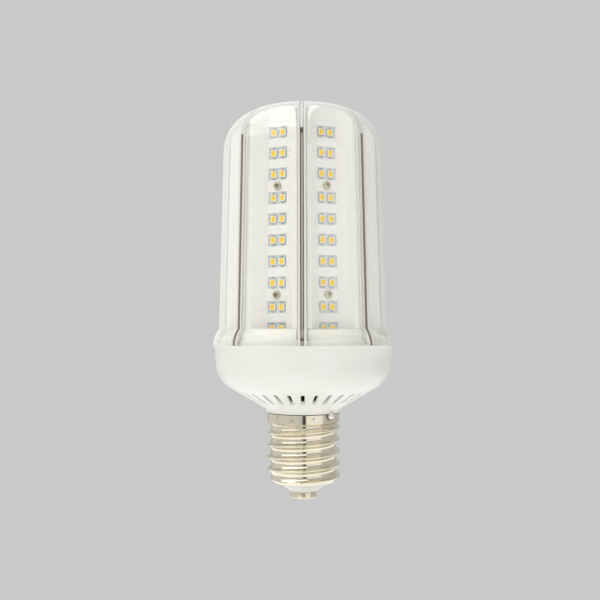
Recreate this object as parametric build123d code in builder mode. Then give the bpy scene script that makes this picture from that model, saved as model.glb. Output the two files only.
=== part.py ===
"""A street light bulb.

Eight clear covers stand over LED boards on a die-cast core, above a vented housing and a mogul screw cap. The
frame's origin is the middle of the centre contact's face, and +Z runs up the lamp's axis. All sizes are in
millimetres. Seams between the covers lie at every 45 degrees from +X, so one of them faces -Y, the front.
"""

from math import cos, radians, sin, sqrt, tan
import os

from build123d import *

# The lamp is divided into equal modules round its axis, each with a board, a reflector and a clear cover.
module_count = 8
module_angle = 360 / module_count
half_angle = radians(module_angle / 2)
draft = 1.32  # degrees that boards and covers lean inwards
lean = tan(radians(draft))

# Centre contact and its insulator
contact_radius = 6.95
contact_height = 3.5
contact_edge = 0.9
contact_stem_radius = 2.6
contact_stem_height = 3.0
insulator_margin = 0.35  # of the insulator's foot round the contact
insulator_rise = 4.9  # from the contact's back to the shell's lip
insulator_shoulder_step = 0.8  # between the insulator's shoulder and the lip's edge
insulator_wall = 4.0  # depth of the plug inside the shell, above the lip
seat_clearance = 0.1

# Screw shell, with the mogul thread
thread_radius = 19.5  # at the crest
thread_depth = 2.0
thread_pitch = 6.35
thread_bead_radius = 1.5  # rounding of the crest
thread_lift = 1.7  # from the lip to the crest's lower end
thread_runout = 1.09  # from the crest's upper end to the skirt
thread_start_angle = -110.5  # degrees from +X
shell_wall = 0.45
shell_height = 37.2
skirt_height = 5.2
skirt_slope = 1.2  # height of the step between thread and skirt
skirt_step = 0.1  # how far the skirt stays inside the crests
lip_width = 3.3  # of the rolled lower lip, from the thread's root
lip_rounding = 2.4

# Housing
housing_height = 35.6
housing_wall = 2.0
neck_overhang = 0.7
neck_height = 1.6
cone_angle = 30.35  # degrees above the horizontal
belly_rounding = 16.0
wall_draft = 5.4
rim_radius = 48.35
rim_overhang = 0.75
rim_band = 1.4
rim_step = 0.6
spigot_clearance = 0.2  # below the spigot, inside the shell's skirt
ledge_depth = 2.0
ledge_width = 2.2
ledge_height = 2.0
vent_count = 4 * module_count
vent_length = 10.0
vent_width = 1.9
vent_clearance = 0.6  # between the vents' inner ends and the screw posts

# Base plate that carries the core on the housing
plate_margin = 3.35  # from the plate's edge to the rim
plate_thickness = 4.2
collar_clearance = 0.36
collar_wall = 1.3
collar_height = 4.8
air_slot_length = 6.0
air_slot_width = 2.4
air_slot_radius = 36.5

# Clear covers
cover_wall = 1.6
cover_side_wall = 1.5
cover_side_depth = 2.4
gap = 1.8  # between neighbouring covers
foot_height = 1.2
flare_height = 7.1
flare_width = 3.19
flare_bulge = 0.55
straight_height = 95.7  # from the flare to the centre of the dome's corner rounding
corner_rounding = 21.2
crown_angle = 77.7  # degrees above the horizontal where the flatter crown begins

# Boards, reflectors and LEDs. The face plane is the front of each reflector's floor.
face_apothem = 33.6
lowest_row = 6.2  # from the base plate to the lowest row of LEDs, where that distance from the axis holds
row_pitch = 10.73
screw_gap = 1.45  # extra space where a screw sits between two rows
rows_below_screw = 2  # below the lower screw
rows_above_screw = 3  # above the upper screw
floor_half_width = 5.35
wing_angle = 45.0
wing_depth = 6.0
wing_rim_clearance = 0.15  # from the wings' flat rims to the gap
reflector_wall = 1.1
reflector_clearance = 0.25
window_width = 10.2
window_height = 6.2
board_thickness = 1.6
board_width = 13.0
board_bottom_gap = 0.6
led_spacing = 4.82
led_width = 2.8
led_length = 3.4
led_height = 0.75
phosphor_width = 2.3
phosphor_length = 2.5
phosphor_height = 0.1

# Die-cast core
core_wall = 2.5
core_rise = 11.3  # of the core's top above the centre of the dome's corner rounding
core_floor = 3.0
core_hole_radius = 14.0
fin_thickness = 1.0
fin_rise = 0.8  # of the fins' tops above that centre
fin_depth = 3.4  # how far the fins' edges lie behind the covers' faces
fin_clearance = 0.3
lug_lift = 1.3  # a lug at each fin's foot nearly fills the gap
lug_height = 3.7
lug_depth = 1.6
lug_clearance = 0.2

# Top retainer
boss_radius = 6.0
boss_clearance = 0.4
retainer_flange_radius = 11.0
retainer_flange = 2.0
retainer_stem_radius = 3.9
retainer_collar_radius = 7.0  # where the stem rests on the core
boss_rounding = 0.6
retainer_rib_inset = 0.15  # of the ribs in the gaps, from the covers' surface
retainer_rib_depth = 3.0
retainer_rib_clearance = 0.2  # to the covers on both sides
retainer_rib_rise = 2.8  # of the ribs' feet above the centre of the dome's corner rounding

# Screws
board_screw_radius = 1.2
board_screw_head_radius = 2.05
board_screw_head = 1.5
board_screw_rounding = 0.75
board_screw_length = 7.0
screw_clearance = 0.2
housing_screw_radius = 1.5
housing_screw_head_radius = 2.8
housing_screw_head = 2.2
housing_screw_bite = 9.0
pilot_clearance = 0.05
boss_count = 4
boss_circle_radius = 22.0
post_radius = 3.6
post_neck_radius = 2.7

# Driver board, its parts and the leads
driver_board_thickness = 1.6
driver_board_margin = 4.5  # from its edge to the housing's inside
driver_headroom = 2.6  # between its tallest parts and the base plate
ferrite_size = (20.0, 18.0, 15.0)
ferrite_window = 4.0  # width of each window in the ferrite
ferrite_leg = 3.6
ferrite_place = (0, 8.5)
bobbin_clearance = 0.2
winding_rounding = 2.0
capacitor_radius = 5.0
capacitor_height = 15.0
capacitor_rounding = 0.6
capacitor_places = [(-24.0, -6.5), (-6.0, -17.5)]
choke_radius = 5.5
choke_height = 11.0
choke_waist = 3.6
choke_flange = 1.4
choke_place = (6.5, -18.5)
bridge_size = (9.0, 4.0, 7.0)
bridge_rounding = 0.5
bridge_place = (25.5, 0)
fuse_radius = 2.2
fuse_length = 12.0
fuse_cap_length = 2.6
fuse_glass_inset = 0.25
fuse_place = (-26.0, 9.0)
lead_radius = 0.75
lead_bend = 4.5
lead_clearance = 0.2
contact_lead_place = (7.0, -4.0)  # where it meets the driver board
contact_lead_rise = 22.0
contact_lead_slant = 16.0
side_solder_angle = -43.0  # degrees from +X
side_solder_drop = 1.1  # of its middle below the shell's top
side_solder_radius = 2.0
shell_lead_radius = 12.5  # distance of its upright run from the axis
led_lead_places = [(-9.0, -4.0), (-9.0, -1.0)]

# Heights from the contact's face up the axis
shell_bottom = contact_height + insulator_rise
shell_top = shell_bottom + shell_height
skirt_bottom = shell_top - skirt_height
thread_start = shell_bottom + thread_lift
thread_turns = (skirt_bottom - thread_runout - thread_start) / thread_pitch
side_solder_height = shell_top - side_solder_drop
rim_height = shell_top + housing_height
rim_bottom = rim_height - rim_band
plate_bottom = rim_height - ledge_depth
plate_top = plate_bottom + plate_thickness
collar_top = plate_top + collar_height
lug_bottom = plate_top + lug_lift
lug_top = lug_bottom + lug_height
foot_top = rim_height + foot_height
flare_top = foot_top + flare_height
shoulder_height = flare_top + straight_height
face_height = plate_top + lowest_row
fin_top = shoulder_height + fin_rise
core_top = shoulder_height + core_rise
driver_board_top = plate_bottom - driver_headroom - max(ferrite_size[2], capacitor_height, choke_height)
driver_board_height = driver_board_top - driver_board_thickness

# Radii from the thread and the rim inwards
thread_root_radius = thread_radius - thread_depth
skirt_radius = thread_radius - skirt_step
lip_radius = thread_root_radius - lip_width
neck_radius = skirt_radius + neck_overhang
wall_top_radius = rim_radius - rim_overhang
plate_radius = rim_radius - plate_margin
cover_radius = rim_radius - flare_width  # where the straight wall meets the flared foot
collar_radius = cover_radius - cover_wall - collar_clearance
vent_inner_radius = boss_circle_radius + post_radius + vent_clearance
board_front = -reflector_wall  # from the face plane
board_back = board_front - board_thickness

# Rows of LEDs, as many as fit on the boards, with a screw near each end
row_count = 1 + int((core_top - face_height - 2 * screw_gap - led_length) / row_pitch)
screw_rows = (rows_below_screw - 1, row_count - rows_above_screw - 1)

# Lengths that reach past the whole lamp, for wedges and cuts
beyond = 2 * rim_radius
overhead = 2 * shoulder_height


def face_distance(height):
    """Distance of the leaning face plane from the axis at a height."""
    return face_apothem - (height - face_height) * lean


def face_plane(offset, height=face_height):
    """The face plane of the module that points along +X, moved outwards by an offset. Its x runs sideways."""
    outwards = Vector(cos(radians(draft)), 0, sin(radians(draft)))
    origin = Vector(face_distance(height), 0, height) + outwards * offset
    return Plane(origin=origin, x_dir=(0, 1, 0), z_dir=outwards)


def row_positions():
    """Distances of the LED rows up the face plane, from the lowest row."""
    steps = [row_pitch + (screw_gap if row in screw_rows else 0) for row in range(row_count - 1)]
    return [sum(steps[:row]) for row in range(row_count)]


def screw_positions():
    """Distances of the board screws up the face plane, each midway between two rows."""
    rows = row_positions()
    return [(rows[row] + rows[row + 1]) / 2 for row in screw_rows]


def sector(side_offset):
    """A module's wedge about +X, drawn in plan, with both sides set in from the seams."""
    apex = side_offset / sin(half_angle)
    far = apex + beyond * cos(half_angle)
    side = beyond * sin(half_angle)
    with BuildSketch(Plane.XY) as wedge:
        with BuildLine():
            Polyline((apex, 0), (far, side), (far, -side), close=True)
        make_face()
    return wedge.sketch


def dome_shape(inset):
    """Centre of the dome's corner arc from the axis, both arcs' radii and the height of the crown's centre."""
    centre = cover_radius - (shoulder_height - flare_top) * lean - corner_rounding / cos(radians(draft))
    corner = corner_rounding - inset
    crown = centre / cos(radians(crown_angle)) + corner
    crown_centre = shoulder_height - (crown - corner) * sin(radians(crown_angle))
    return centre, corner, crown, crown_centre


def dome_outline(inset, bottom, flared):
    """Half of the light section's outline in the XZ plane, set in from the outside by a distance."""
    centre, corner, crown, crown_centre = dome_shape(inset)

    def on_corner(angle):
        return (centre + corner * cos(radians(angle)), shoulder_height + corner * sin(radians(angle)))

    wall_radius = cover_radius - inset / cos(radians(draft))
    with BuildSketch(Plane.XZ) as outline:
        with BuildLine():
            if flared:
                foot = rim_radius - inset
                middle = ((foot + wall_radius) / 2 + flare_bulge, (foot_top + flare_top) / 2)
                Polyline((0, bottom), (foot, bottom), (foot, foot_top))
                ThreePointArc((foot, foot_top), middle, (wall_radius, flare_top))
                Line((wall_radius, flare_top), on_corner(draft))
            else:
                low_radius = wall_radius + (flare_top - bottom) * lean
                Polyline((0, bottom), (low_radius, bottom), on_corner(draft))
            ThreePointArc(on_corner(draft), on_corner((draft + crown_angle) / 2), on_corner(crown_angle))
            crown_middle = radians((crown_angle + 90) / 2)
            crown_point = (crown * cos(crown_middle), crown_centre + crown * sin(crown_middle))
            ThreePointArc(on_corner(crown_angle), crown_point, (0, crown_centre + crown))
            Line((0, crown_centre + crown), (0, bottom))
        make_face()
    return outline.sketch


def housing_wall_radius(inset, height):
    """Radius of the housing's upper wall, set in from the outside, at a height."""
    leaning = (rim_bottom - height) * tan(radians(wall_draft))
    return wall_top_radius - inset / cos(radians(wall_draft)) - leaning


def cone_height(inset, radius):
    """Height of the housing's cone, set in from the outside, at a radius."""
    foot = shell_top + neck_height + inset / cos(radians(cone_angle))
    return foot + (radius - neck_radius) * tan(radians(cone_angle))


def cone_radius(inset, height):
    """Radius of the housing's cone, set in from the outside, at a height."""
    return neck_radius + (height - cone_height(inset, neck_radius)) / tan(radians(cone_angle))


def housing_outline(inset, top):
    """Half of the housing's outline in the XZ plane below a height, set in from the outside."""
    slope = tan(radians(cone_angle))
    wall_foot = housing_wall_radius(inset, 0)
    corner_height = cone_height(inset, wall_foot) / (1 - slope * tan(radians(wall_draft)))
    corner = (housing_wall_radius(inset, corner_height), corner_height)
    wall_end = (housing_wall_radius(inset, top), top)
    neck = neck_radius - inset
    neck_top = (neck, cone_height(inset, neck))
    with BuildSketch(Plane.XZ) as outline:
        with BuildLine():
            FilletPolyline(neck_top, corner, wall_end, radius=belly_rounding - inset)
            Polyline(wall_end, (0, top), (0, shell_top - inset), (neck, shell_top - inset), neck_top)
        make_face()
    return outline.sketch


def shell_outline(inset, top):
    """Half of the screw shell's outline in the XZ plane without its thread, set in from the outside."""
    root = thread_root_radius - inset
    skirt = skirt_radius - inset
    bottom = shell_bottom + inset
    with BuildSketch(Plane.XZ) as outline:
        with BuildLine():
            FilletPolyline(
                (0, bottom), (root, bottom), (root, skirt_bottom - skirt_slope), radius=lip_rounding - inset
            )
            Polyline(
                (root, skirt_bottom - skirt_slope), (skirt, skirt_bottom), (skirt, top), (0, top), (0, bottom)
            )
        make_face()
    return outline.sketch


def thread_sweep(bead):
    """The thread's crest swept up its helix: a round bead with a web that reaches into the shell."""
    with BuildPart() as thread:
        with BuildLine():
            path = Helix(
                thread_pitch,
                thread_turns * thread_pitch,
                thread_radius - thread_bead_radius,
                center=(0, 0, thread_start),
            )
        with BuildSketch(Plane(origin=path @ 0, x_dir=(1, 0, 0), z_dir=path % 0)):
            Circle(bead)
            with Locations((-thread_bead_radius / 2, 0)):
                Rectangle(thread_bead_radius, 2 * bead)
        sweep(path=path, is_frenet=True)
    return thread.part


def side_plane():
    """The plane across the side contact's radial line, at the axis."""
    outwards = (cos(radians(side_solder_angle)), sin(radians(side_solder_angle)), 0)
    return Plane(origin=(0, 0, side_solder_height), x_dir=(0, 0, 1), z_dir=outwards)


def lead(route):
    """A round lead along a route of straight runs joined by tangent arcs."""
    with BuildPart() as wire:
        with BuildLine():
            path = FilletPolyline(*route, radius=lead_bend)
        with BuildSketch(Plane(origin=path @ 0, z_dir=path % 0)):
            Circle(lead_radius)
        sweep(path=path)
    return wire.part


def save(piece, name):
    """Labels a finished piece and writes it as its own file."""
    piece.label = name
    export_step(piece, f"parts/{name}.step")


def save_modules(piece, name):
    """Writes a module's piece once for each module, turned to its place and numbered from 1."""
    for module in range(module_count):
        turned = piece.rotate(Axis.Z, (module + 0.5) * module_angle)
        save(turned, f"{name}_{module + 1}")


os.makedirs("parts", exist_ok=True)

crown, crown_centre = dome_shape(0)[2:]
apex_height = crown_centre + crown
crown_drop = retainer_flange_radius**2 / (2 * crown)
flange_top = apex_height - cover_wall - crown_drop - boss_clearance

# Clear cover: a dome-topped sector with side walls, open towards the axis
with BuildPart() as cover_cavity:
    add(dome_outline(cover_wall, plate_bottom, flared=False))
    revolve(axis=Axis.Z)
    add(sector(gap / 2 + cover_side_wall))
    extrude(amount=overhead, mode=Mode.INTERSECT)

with BuildPart() as cover_back:
    add(dome_outline(cover_side_depth, plate_bottom, flared=False))
    revolve(axis=Axis.Z)

with BuildPart() as clear_cover:
    add(dome_outline(0, rim_height, flared=True))
    revolve(axis=Axis.Z)
    add(sector(gap / 2))
    extrude(amount=overhead, mode=Mode.INTERSECT)
    add(cover_cavity.part, mode=Mode.SUBTRACT)
    add(cover_back.part, mode=Mode.SUBTRACT)
    with BuildSketch(Plane.XY.offset(rim_height)):
        Circle(plate_radius + fin_clearance)
    extrude(amount=plate_top + fin_clearance - rim_height, mode=Mode.SUBTRACT)
    with BuildSketch(Plane.XY):
        Circle(boss_radius + boss_clearance)
    extrude(amount=overhead, mode=Mode.SUBTRACT)
    with BuildSketch(Plane.XY):
        Circle(retainer_flange_radius + boss_clearance)
    extrude(amount=flange_top + boss_clearance, mode=Mode.SUBTRACT)
save_modules(clear_cover.part, "clear_cover")

# Reflector: a moulded trough with a windowed floor, wings that lean outwards and flat rims behind the covers' sides
wing_end = floor_half_width + wing_depth / tan(radians(wing_angle))
mitre = reflector_wall * tan(radians(wing_angle / 2))
with BuildPart() as rim_room:
    add(dome_outline(cover_side_depth + reflector_clearance, plate_top, flared=False))
    revolve(axis=Axis.Z)
    add(sector(gap / 2 + wing_rim_clearance))
    extrude(amount=overhead, mode=Mode.INTERSECT)

with BuildPart() as reflector_room:
    add(dome_outline(cover_wall + reflector_clearance, plate_top, flared=False))
    revolve(axis=Axis.Z)
    add(sector(gap / 2 + cover_side_wall + reflector_clearance))
    extrude(amount=overhead, mode=Mode.INTERSECT)
    add(rim_room.part)

section_plane = Plane(
    origin=(face_distance(rim_height), 0, rim_height),
    x_dir=(0, 1, 0),
    z_dir=(-sin(radians(draft)), 0, cos(radians(draft))),
)
with BuildPart() as reflector:
    with BuildSketch(section_plane):
        with BuildLine():
            Polyline(
                (0, 0),
                (floor_half_width, 0),
                (wing_end, -wing_depth),
                (rim_radius, -wing_depth),
                (rim_radius, reflector_wall - wing_depth),
                (wing_end + mitre, reflector_wall - wing_depth),
                (floor_half_width + mitre, reflector_wall),
                (0, reflector_wall),
                close=True,
            )
        make_face()
        mirror(about=Plane.YZ)
    extrude(amount=apex_height - rim_height)
    add(reflector_room.part, mode=Mode.INTERSECT)
    with BuildSketch(Plane.XY.offset(plate_top)):
        Circle(rim_radius)
        Circle(collar_radius - collar_wall - reflector_clearance, mode=Mode.SUBTRACT)
    extrude(amount=collar_top + reflector_clearance - plate_top, mode=Mode.SUBTRACT)
    with BuildSketch(face_plane(0)):
        with Locations([(0, row) for row in row_positions()]):
            Rectangle(window_width, window_height)
        with Locations([(0, place) for place in screw_positions()]):
            Circle(board_screw_radius + screw_clearance)
    extrude(amount=-2 * reflector_wall, mode=Mode.SUBTRACT)
save_modules(reflector.part, "reflector")

# LED board on its flat of the core, with both screw holes
board_low = plate_top + board_bottom_gap - face_height
board_high = core_top - face_height
with BuildPart() as led_board:
    with BuildSketch(face_plane(board_back)):
        with Locations((0, (board_low + board_high) / 2)):
            Rectangle(board_width, board_high - board_low)
        with Locations([(0, place) for place in screw_positions()]):
            Circle(board_screw_radius + screw_clearance, mode=Mode.SUBTRACT)
    extrude(amount=board_thickness)
save_modules(led_board.part, "led_board")

led_places = [(side * led_spacing / 2, row) for row in row_positions() for side in (-1, 1)]
with BuildPart() as led_packages:
    with BuildSketch(face_plane(board_front)):
        with Locations(led_places):
            Rectangle(led_width, led_length)
    extrude(amount=led_height)
save_modules(led_packages.part, "led_packages")

with BuildPart() as phosphors:
    with BuildSketch(face_plane(board_front + led_height)):
        with Locations(led_places):
            Rectangle(phosphor_width, phosphor_length)
    extrude(amount=phosphor_height)
save_modules(phosphors.part, "led_phosphors")

# Base plate, with a collar in each module and air slots beside each fin
screw_angle = 180 / boss_count
collar_break = gap + 2 * cover_side_wall + 2 * fin_clearance
slot_side = fin_thickness / 2 + fin_clearance + air_slot_width / 2
with BuildPart() as base_plate:
    with BuildSketch(Plane.XY.offset(plate_bottom)):
        Circle(plate_radius)
    extrude(amount=plate_top - plate_bottom)
    with BuildSketch(Plane.XY.offset(plate_top)):
        Circle(collar_radius)
        Circle(collar_radius - collar_wall, mode=Mode.SUBTRACT)
        with PolarLocations(collar_radius, module_count):
            Rectangle(2 * fin_depth + 2 * collar_wall, collar_break, mode=Mode.SUBTRACT)
    extrude(amount=collar_top - plate_top)
    with BuildSketch(Plane.XY.offset(plate_bottom)):
        Circle(core_hole_radius)
        with PolarLocations(boss_circle_radius, boss_count, start_angle=screw_angle):
            Circle(housing_screw_radius + screw_clearance)
        for side in (-slot_side, slot_side):
            with PolarLocations(0, module_count):
                with Locations((air_slot_radius, side)):
                    SlotOverall(air_slot_length, air_slot_width)
    extrude(amount=plate_top - plate_bottom, mode=Mode.SUBTRACT)
save(base_plate.part, "base_plate")

# Core: a tapered eight-sided casting with a fin in each gap
base_apothem = face_distance(plate_top) + board_back / cos(radians(draft))
corner_radius = base_apothem / cos(half_angle) - core_wall
fin_tip = cover_radius + (flare_top - plate_top) * lean - fin_depth
fin_lean = (fin_top - plate_top) * lean
lug_tip = fin_tip + fin_depth - lug_depth
with BuildPart() as fin:
    with BuildSketch(Plane.XZ):
        Polygon(
            (corner_radius, plate_top),
            (fin_tip, plate_top),
            (fin_tip - fin_lean, fin_top),
            (corner_radius - fin_lean, fin_top),
            align=None,
        )
    extrude(amount=fin_thickness / 2, both=True)
    with BuildSketch(Plane.XZ):
        Polygon(
            (corner_radius, lug_bottom),
            (lug_tip, lug_bottom),
            (lug_tip, lug_top),
            (corner_radius, lug_top),
            align=None,
        )
    extrude(amount=gap / 2 - lug_clearance, both=True)

with BuildPart() as board_screw_pilots:
    with BuildSketch(face_plane(0)):
        with Locations([(0, place) for place in screw_positions()]):
            Circle(board_screw_radius + pilot_clearance)
    extrude(amount=-board_screw_length)

with BuildPart() as heat_core:
    with BuildSketch(Plane.XY.offset(plate_top)):
        RegularPolygon(base_apothem, module_count, major_radius=False)
    extrude(amount=core_top - plate_top, taper=draft)
    with PolarLocations(0, module_count):
        add(fin.part)
    with BuildSketch(Plane.XY.offset(plate_top + core_floor)):
        RegularPolygon(base_apothem - core_floor * lean - core_wall, module_count, major_radius=False)
    extrude(amount=core_top - plate_top - core_floor - core_wall, taper=draft, mode=Mode.SUBTRACT)
    with BuildSketch(Plane.XY.offset(plate_top)):
        Circle(core_hole_radius)
        with PolarLocations(boss_circle_radius, boss_count, start_angle=screw_angle):
            Circle(housing_screw_radius + screw_clearance)
    extrude(amount=core_floor, mode=Mode.SUBTRACT)
    with BuildSketch(Plane.XY.offset(core_top)):
        Circle(retainer_stem_radius + seat_clearance)
    extrude(amount=-core_wall, mode=Mode.SUBTRACT)
    with PolarLocations(0, module_count, start_angle=module_angle / 2):
        add(board_screw_pilots.part, mode=Mode.SUBTRACT)
save(heat_core.part, "heat_core")

# Board screws, through reflector and board into the core
with BuildPart() as board_screw_pair:
    with BuildSketch(face_plane(0)):
        with Locations([(0, place) for place in screw_positions()]):
            Circle(board_screw_radius)
    extrude(amount=-board_screw_length)
    with BuildSketch(face_plane(0)):
        with Locations([(0, place) for place in screw_positions()]):
            Circle(board_screw_head_radius)
    extrude(amount=board_screw_head)
    rims = board_screw_pair.edges().filter_by(GeomType.CIRCLE).group_by(SortBy.RADIUS)[-1]
    front_rims = rims.filter_by(lambda rim: rim.center().X > face_distance(rim.center().Z) + screw_clearance)
    fillet(front_rims, board_screw_rounding)
with BuildPart() as board_screws:
    with PolarLocations(0, module_count, start_angle=module_angle / 2):
        add(board_screw_pair.part)
save(board_screws.part, "board_screws")

# Top retainer: a button flush with the covers' crown, a flange under them, a stem in the core and a rib in each gap
with BuildPart() as rib_dome:
    add(dome_outline(retainer_rib_inset, flare_top, flared=False))
    revolve(axis=Axis.Z)
    add(dome_outline(retainer_rib_inset + retainer_rib_depth, plate_top, flared=False))
    revolve(axis=Axis.Z, mode=Mode.SUBTRACT)

with BuildPart() as retainer_ribs:
    with BuildSketch(Plane.XY.offset(shoulder_height + retainer_rib_rise)):
        with PolarLocations(0, module_count):
            Rectangle(beyond, gap - 2 * retainer_rib_clearance)
    extrude(amount=overhead)
    add(rib_dome.part, mode=Mode.INTERSECT)

with BuildPart() as top_retainer:
    with BuildSketch(Plane.XZ):
        with BuildLine():
            Polyline(
                (0, core_top - core_wall),
                (retainer_stem_radius, core_top - core_wall),
                (retainer_stem_radius, core_top),
                (retainer_collar_radius, core_top),
                (retainer_collar_radius, core_top + retainer_flange),
                (retainer_stem_radius, core_top + retainer_flange),
                (retainer_stem_radius, flange_top - retainer_flange),
                (retainer_flange_radius, flange_top - retainer_flange),
                (retainer_flange_radius, flange_top),
                (boss_radius, flange_top),
                (boss_radius, apex_height - boss_rounding),
                (boss_radius - boss_rounding, apex_height),
                (0, apex_height),
                close=True,
            )
        make_face()
    revolve(axis=Axis.Z)
    add(retainer_ribs.part)
save(top_retainer.part, "top_retainer")

# Housing: a vented bowl on a spigot inside the shell, with a ledge for the base plate and four posts
with BuildPart() as housing_posts:
    add(housing_outline(housing_wall / 2, rim_bottom))
    revolve(axis=Axis.Z)
    with BuildSketch(Plane.XY.offset(shell_top)):
        with PolarLocations(boss_circle_radius, boss_count, start_angle=screw_angle):
            Circle(post_radius)
    extrude(amount=driver_board_height - shell_top, mode=Mode.INTERSECT)
    with BuildSketch(Plane.XY.offset(driver_board_height)):
        with PolarLocations(boss_circle_radius, boss_count, start_angle=screw_angle):
            Circle(post_neck_radius)
    extrude(amount=plate_bottom - driver_board_height)

spigot_radius = skirt_radius - shell_wall - seat_clearance
spigot_depth = skirt_height - spigot_clearance
ledge_radius = plate_radius - ledge_width
ledge_foot = plate_bottom - ledge_height - ledge_width
ledge_foot_radius = housing_wall_radius(housing_wall, ledge_foot)
with BuildPart() as housing:
    add(housing_outline(0, rim_bottom))
    revolve(axis=Axis.Z)
    with BuildSketch(Plane.XZ):
        Polygon(
            (0, rim_bottom),
            (wall_top_radius, rim_bottom),
            (rim_radius, rim_bottom + rim_step),
            (rim_radius, rim_height),
            (0, rim_height),
            align=None,
        )
    revolve(axis=Axis.Z)
    with BuildSketch(Plane.XY.offset(shell_top)):
        Circle(spigot_radius)
    extrude(amount=-spigot_depth)
    add(housing_outline(housing_wall, ledge_foot))
    revolve(axis=Axis.Z, mode=Mode.SUBTRACT)
    with BuildSketch(Plane.XZ):
        Polygon(
            (0, ledge_foot),
            (ledge_foot_radius, ledge_foot),
            (ledge_radius, ledge_foot + ledge_foot_radius - ledge_radius),
            (ledge_radius, plate_bottom),
            (0, plate_bottom),
            align=None,
        )
    revolve(axis=Axis.Z, mode=Mode.SUBTRACT)
    with BuildSketch(Plane.XY.offset(shell_top)):
        Circle(spigot_radius - housing_wall)
    extrude(amount=-spigot_depth, mode=Mode.SUBTRACT)
    with BuildSketch(Plane.XY.offset(plate_bottom)):
        Circle(plate_radius + seat_clearance)
    extrude(amount=ledge_depth, mode=Mode.SUBTRACT)
    add(housing_posts.part)
    with BuildSketch(Plane.XY.offset(plate_bottom)):
        with PolarLocations(boss_circle_radius, boss_count, start_angle=screw_angle):
            Circle(housing_screw_radius + pilot_clearance)
    extrude(amount=-housing_screw_bite - screw_clearance, mode=Mode.SUBTRACT)
    with BuildSketch(Plane.XY.offset(shell_top)):
        with PolarLocations(vent_inner_radius + vent_length / 2, vent_count):
            SlotOverall(vent_length, vent_width)
    extrude(amount=plate_bottom - shell_top, mode=Mode.SUBTRACT)
    with BuildSketch(side_plane()):
        Circle(lead_radius + lead_clearance)
    extrude(amount=spigot_radius, mode=Mode.SUBTRACT)
save(housing.part, "housing")

# Housing screws, from the core's floor through the base plate into the posts
shank_length = core_floor + plate_thickness + housing_screw_bite
with BuildPart() as housing_screws:
    with BuildSketch(Plane.XY.offset(plate_top + core_floor)):
        with PolarLocations(boss_circle_radius, boss_count, start_angle=screw_angle):
            Circle(housing_screw_radius)
    extrude(amount=-shank_length)
    with BuildSketch(Plane.XY.offset(plate_top + core_floor)):
        with PolarLocations(boss_circle_radius, boss_count, start_angle=screw_angle):
            Circle(housing_screw_head_radius)
    extrude(amount=housing_screw_head)
save(housing_screws.part, "housing_screws")

# Screw shell: thin plated metal with the thread pressed into it from both sides
thread_outside = thread_sweep(thread_bead_radius)
thread_inside = thread_sweep(thread_bead_radius - shell_wall)
with BuildPart() as threaded_blank:
    add(shell_outline(0, shell_top))
    revolve(axis=Axis.Z)
    add(thread_outside)

with BuildPart() as threaded_void:
    add(shell_outline(shell_wall, shell_top))
    revolve(axis=Axis.Z)
    add(thread_inside)

with BuildPart() as threaded_shell:
    add(threaded_blank.part)
    add(threaded_void.part, mode=Mode.SUBTRACT)

with BuildPart() as screw_shell:
    add(threaded_shell.part, rotation=(0, 0, thread_start_angle))
    with BuildSketch(Plane.XY):
        Circle(lip_radius)
    extrude(amount=shell_top, mode=Mode.SUBTRACT)
    with BuildSketch(side_plane()):
        Circle(lead_radius + lead_clearance)
    extrude(amount=skirt_radius + shell_wall, mode=Mode.SUBTRACT)
save(screw_shell.part, "screw_shell")

# Centre contact with its stem, and the insulator that holds it in the shell
stem_top = contact_height + contact_stem_height
with BuildPart() as centre_contact:
    with BuildSketch(Plane.XY):
        Circle(contact_radius)
    extrude(amount=contact_height)
    fillet(centre_contact.edges().group_by(Axis.Z)[0], contact_edge)
    with BuildSketch(Plane.XY.offset(contact_height)):
        Circle(contact_stem_radius)
    extrude(amount=contact_stem_height)
save(centre_contact.part, "centre_contact")

plug_bottom = shell_bottom + shell_wall + seat_clearance
plug_top = plug_bottom + insulator_wall
plug_radius = thread_root_radius - shell_wall - seat_clearance
throat_radius = lip_radius - seat_clearance
with BuildPart() as insulator:
    with BuildSketch(Plane.XZ):
        with BuildLine():
            Polyline(
                (0, contact_height),
                (contact_radius + insulator_margin, contact_height),
                (lip_radius - insulator_shoulder_step, shell_bottom - seat_clearance),
                (throat_radius, shell_bottom),
                (throat_radius, plug_bottom),
            )
            FilletPolyline(
                (throat_radius, plug_bottom),
                (plug_radius, plug_bottom),
                (plug_radius, plug_top),
                radius=lip_rounding - shell_wall,
            )
            Polyline((plug_radius, plug_top), (0, plug_top), (0, contact_height))
        make_face()
    revolve(axis=Axis.Z)
    with BuildSketch(Plane.XY.offset(contact_height)):
        Circle(contact_stem_radius + seat_clearance)
    extrude(amount=contact_stem_height + seat_clearance, mode=Mode.SUBTRACT)
    with BuildSketch(Plane.XY.offset(contact_height)):
        Circle(lead_radius + lead_clearance)
    extrude(amount=plug_top - contact_height, mode=Mode.SUBTRACT)
save(insulator.part, "insulator")

# Side contact: a solder dome over the end of its lead, lapped onto the housing's neck
side_direction = side_plane().z_dir
with BuildPart() as side_solder:
    with Locations(side_direction * skirt_radius + Vector(0, 0, side_solder_height)):
        Sphere(side_solder_radius)
    with BuildSketch(Plane.XY):
        Circle(skirt_radius)
    extrude(amount=shell_top, mode=Mode.SUBTRACT)
    with BuildSketch(Plane.XY.offset(shell_top)):
        Circle(neck_radius)
    extrude(amount=side_solder_radius + neck_height, mode=Mode.SUBTRACT)
save(side_solder.part, "side_solder")

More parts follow.
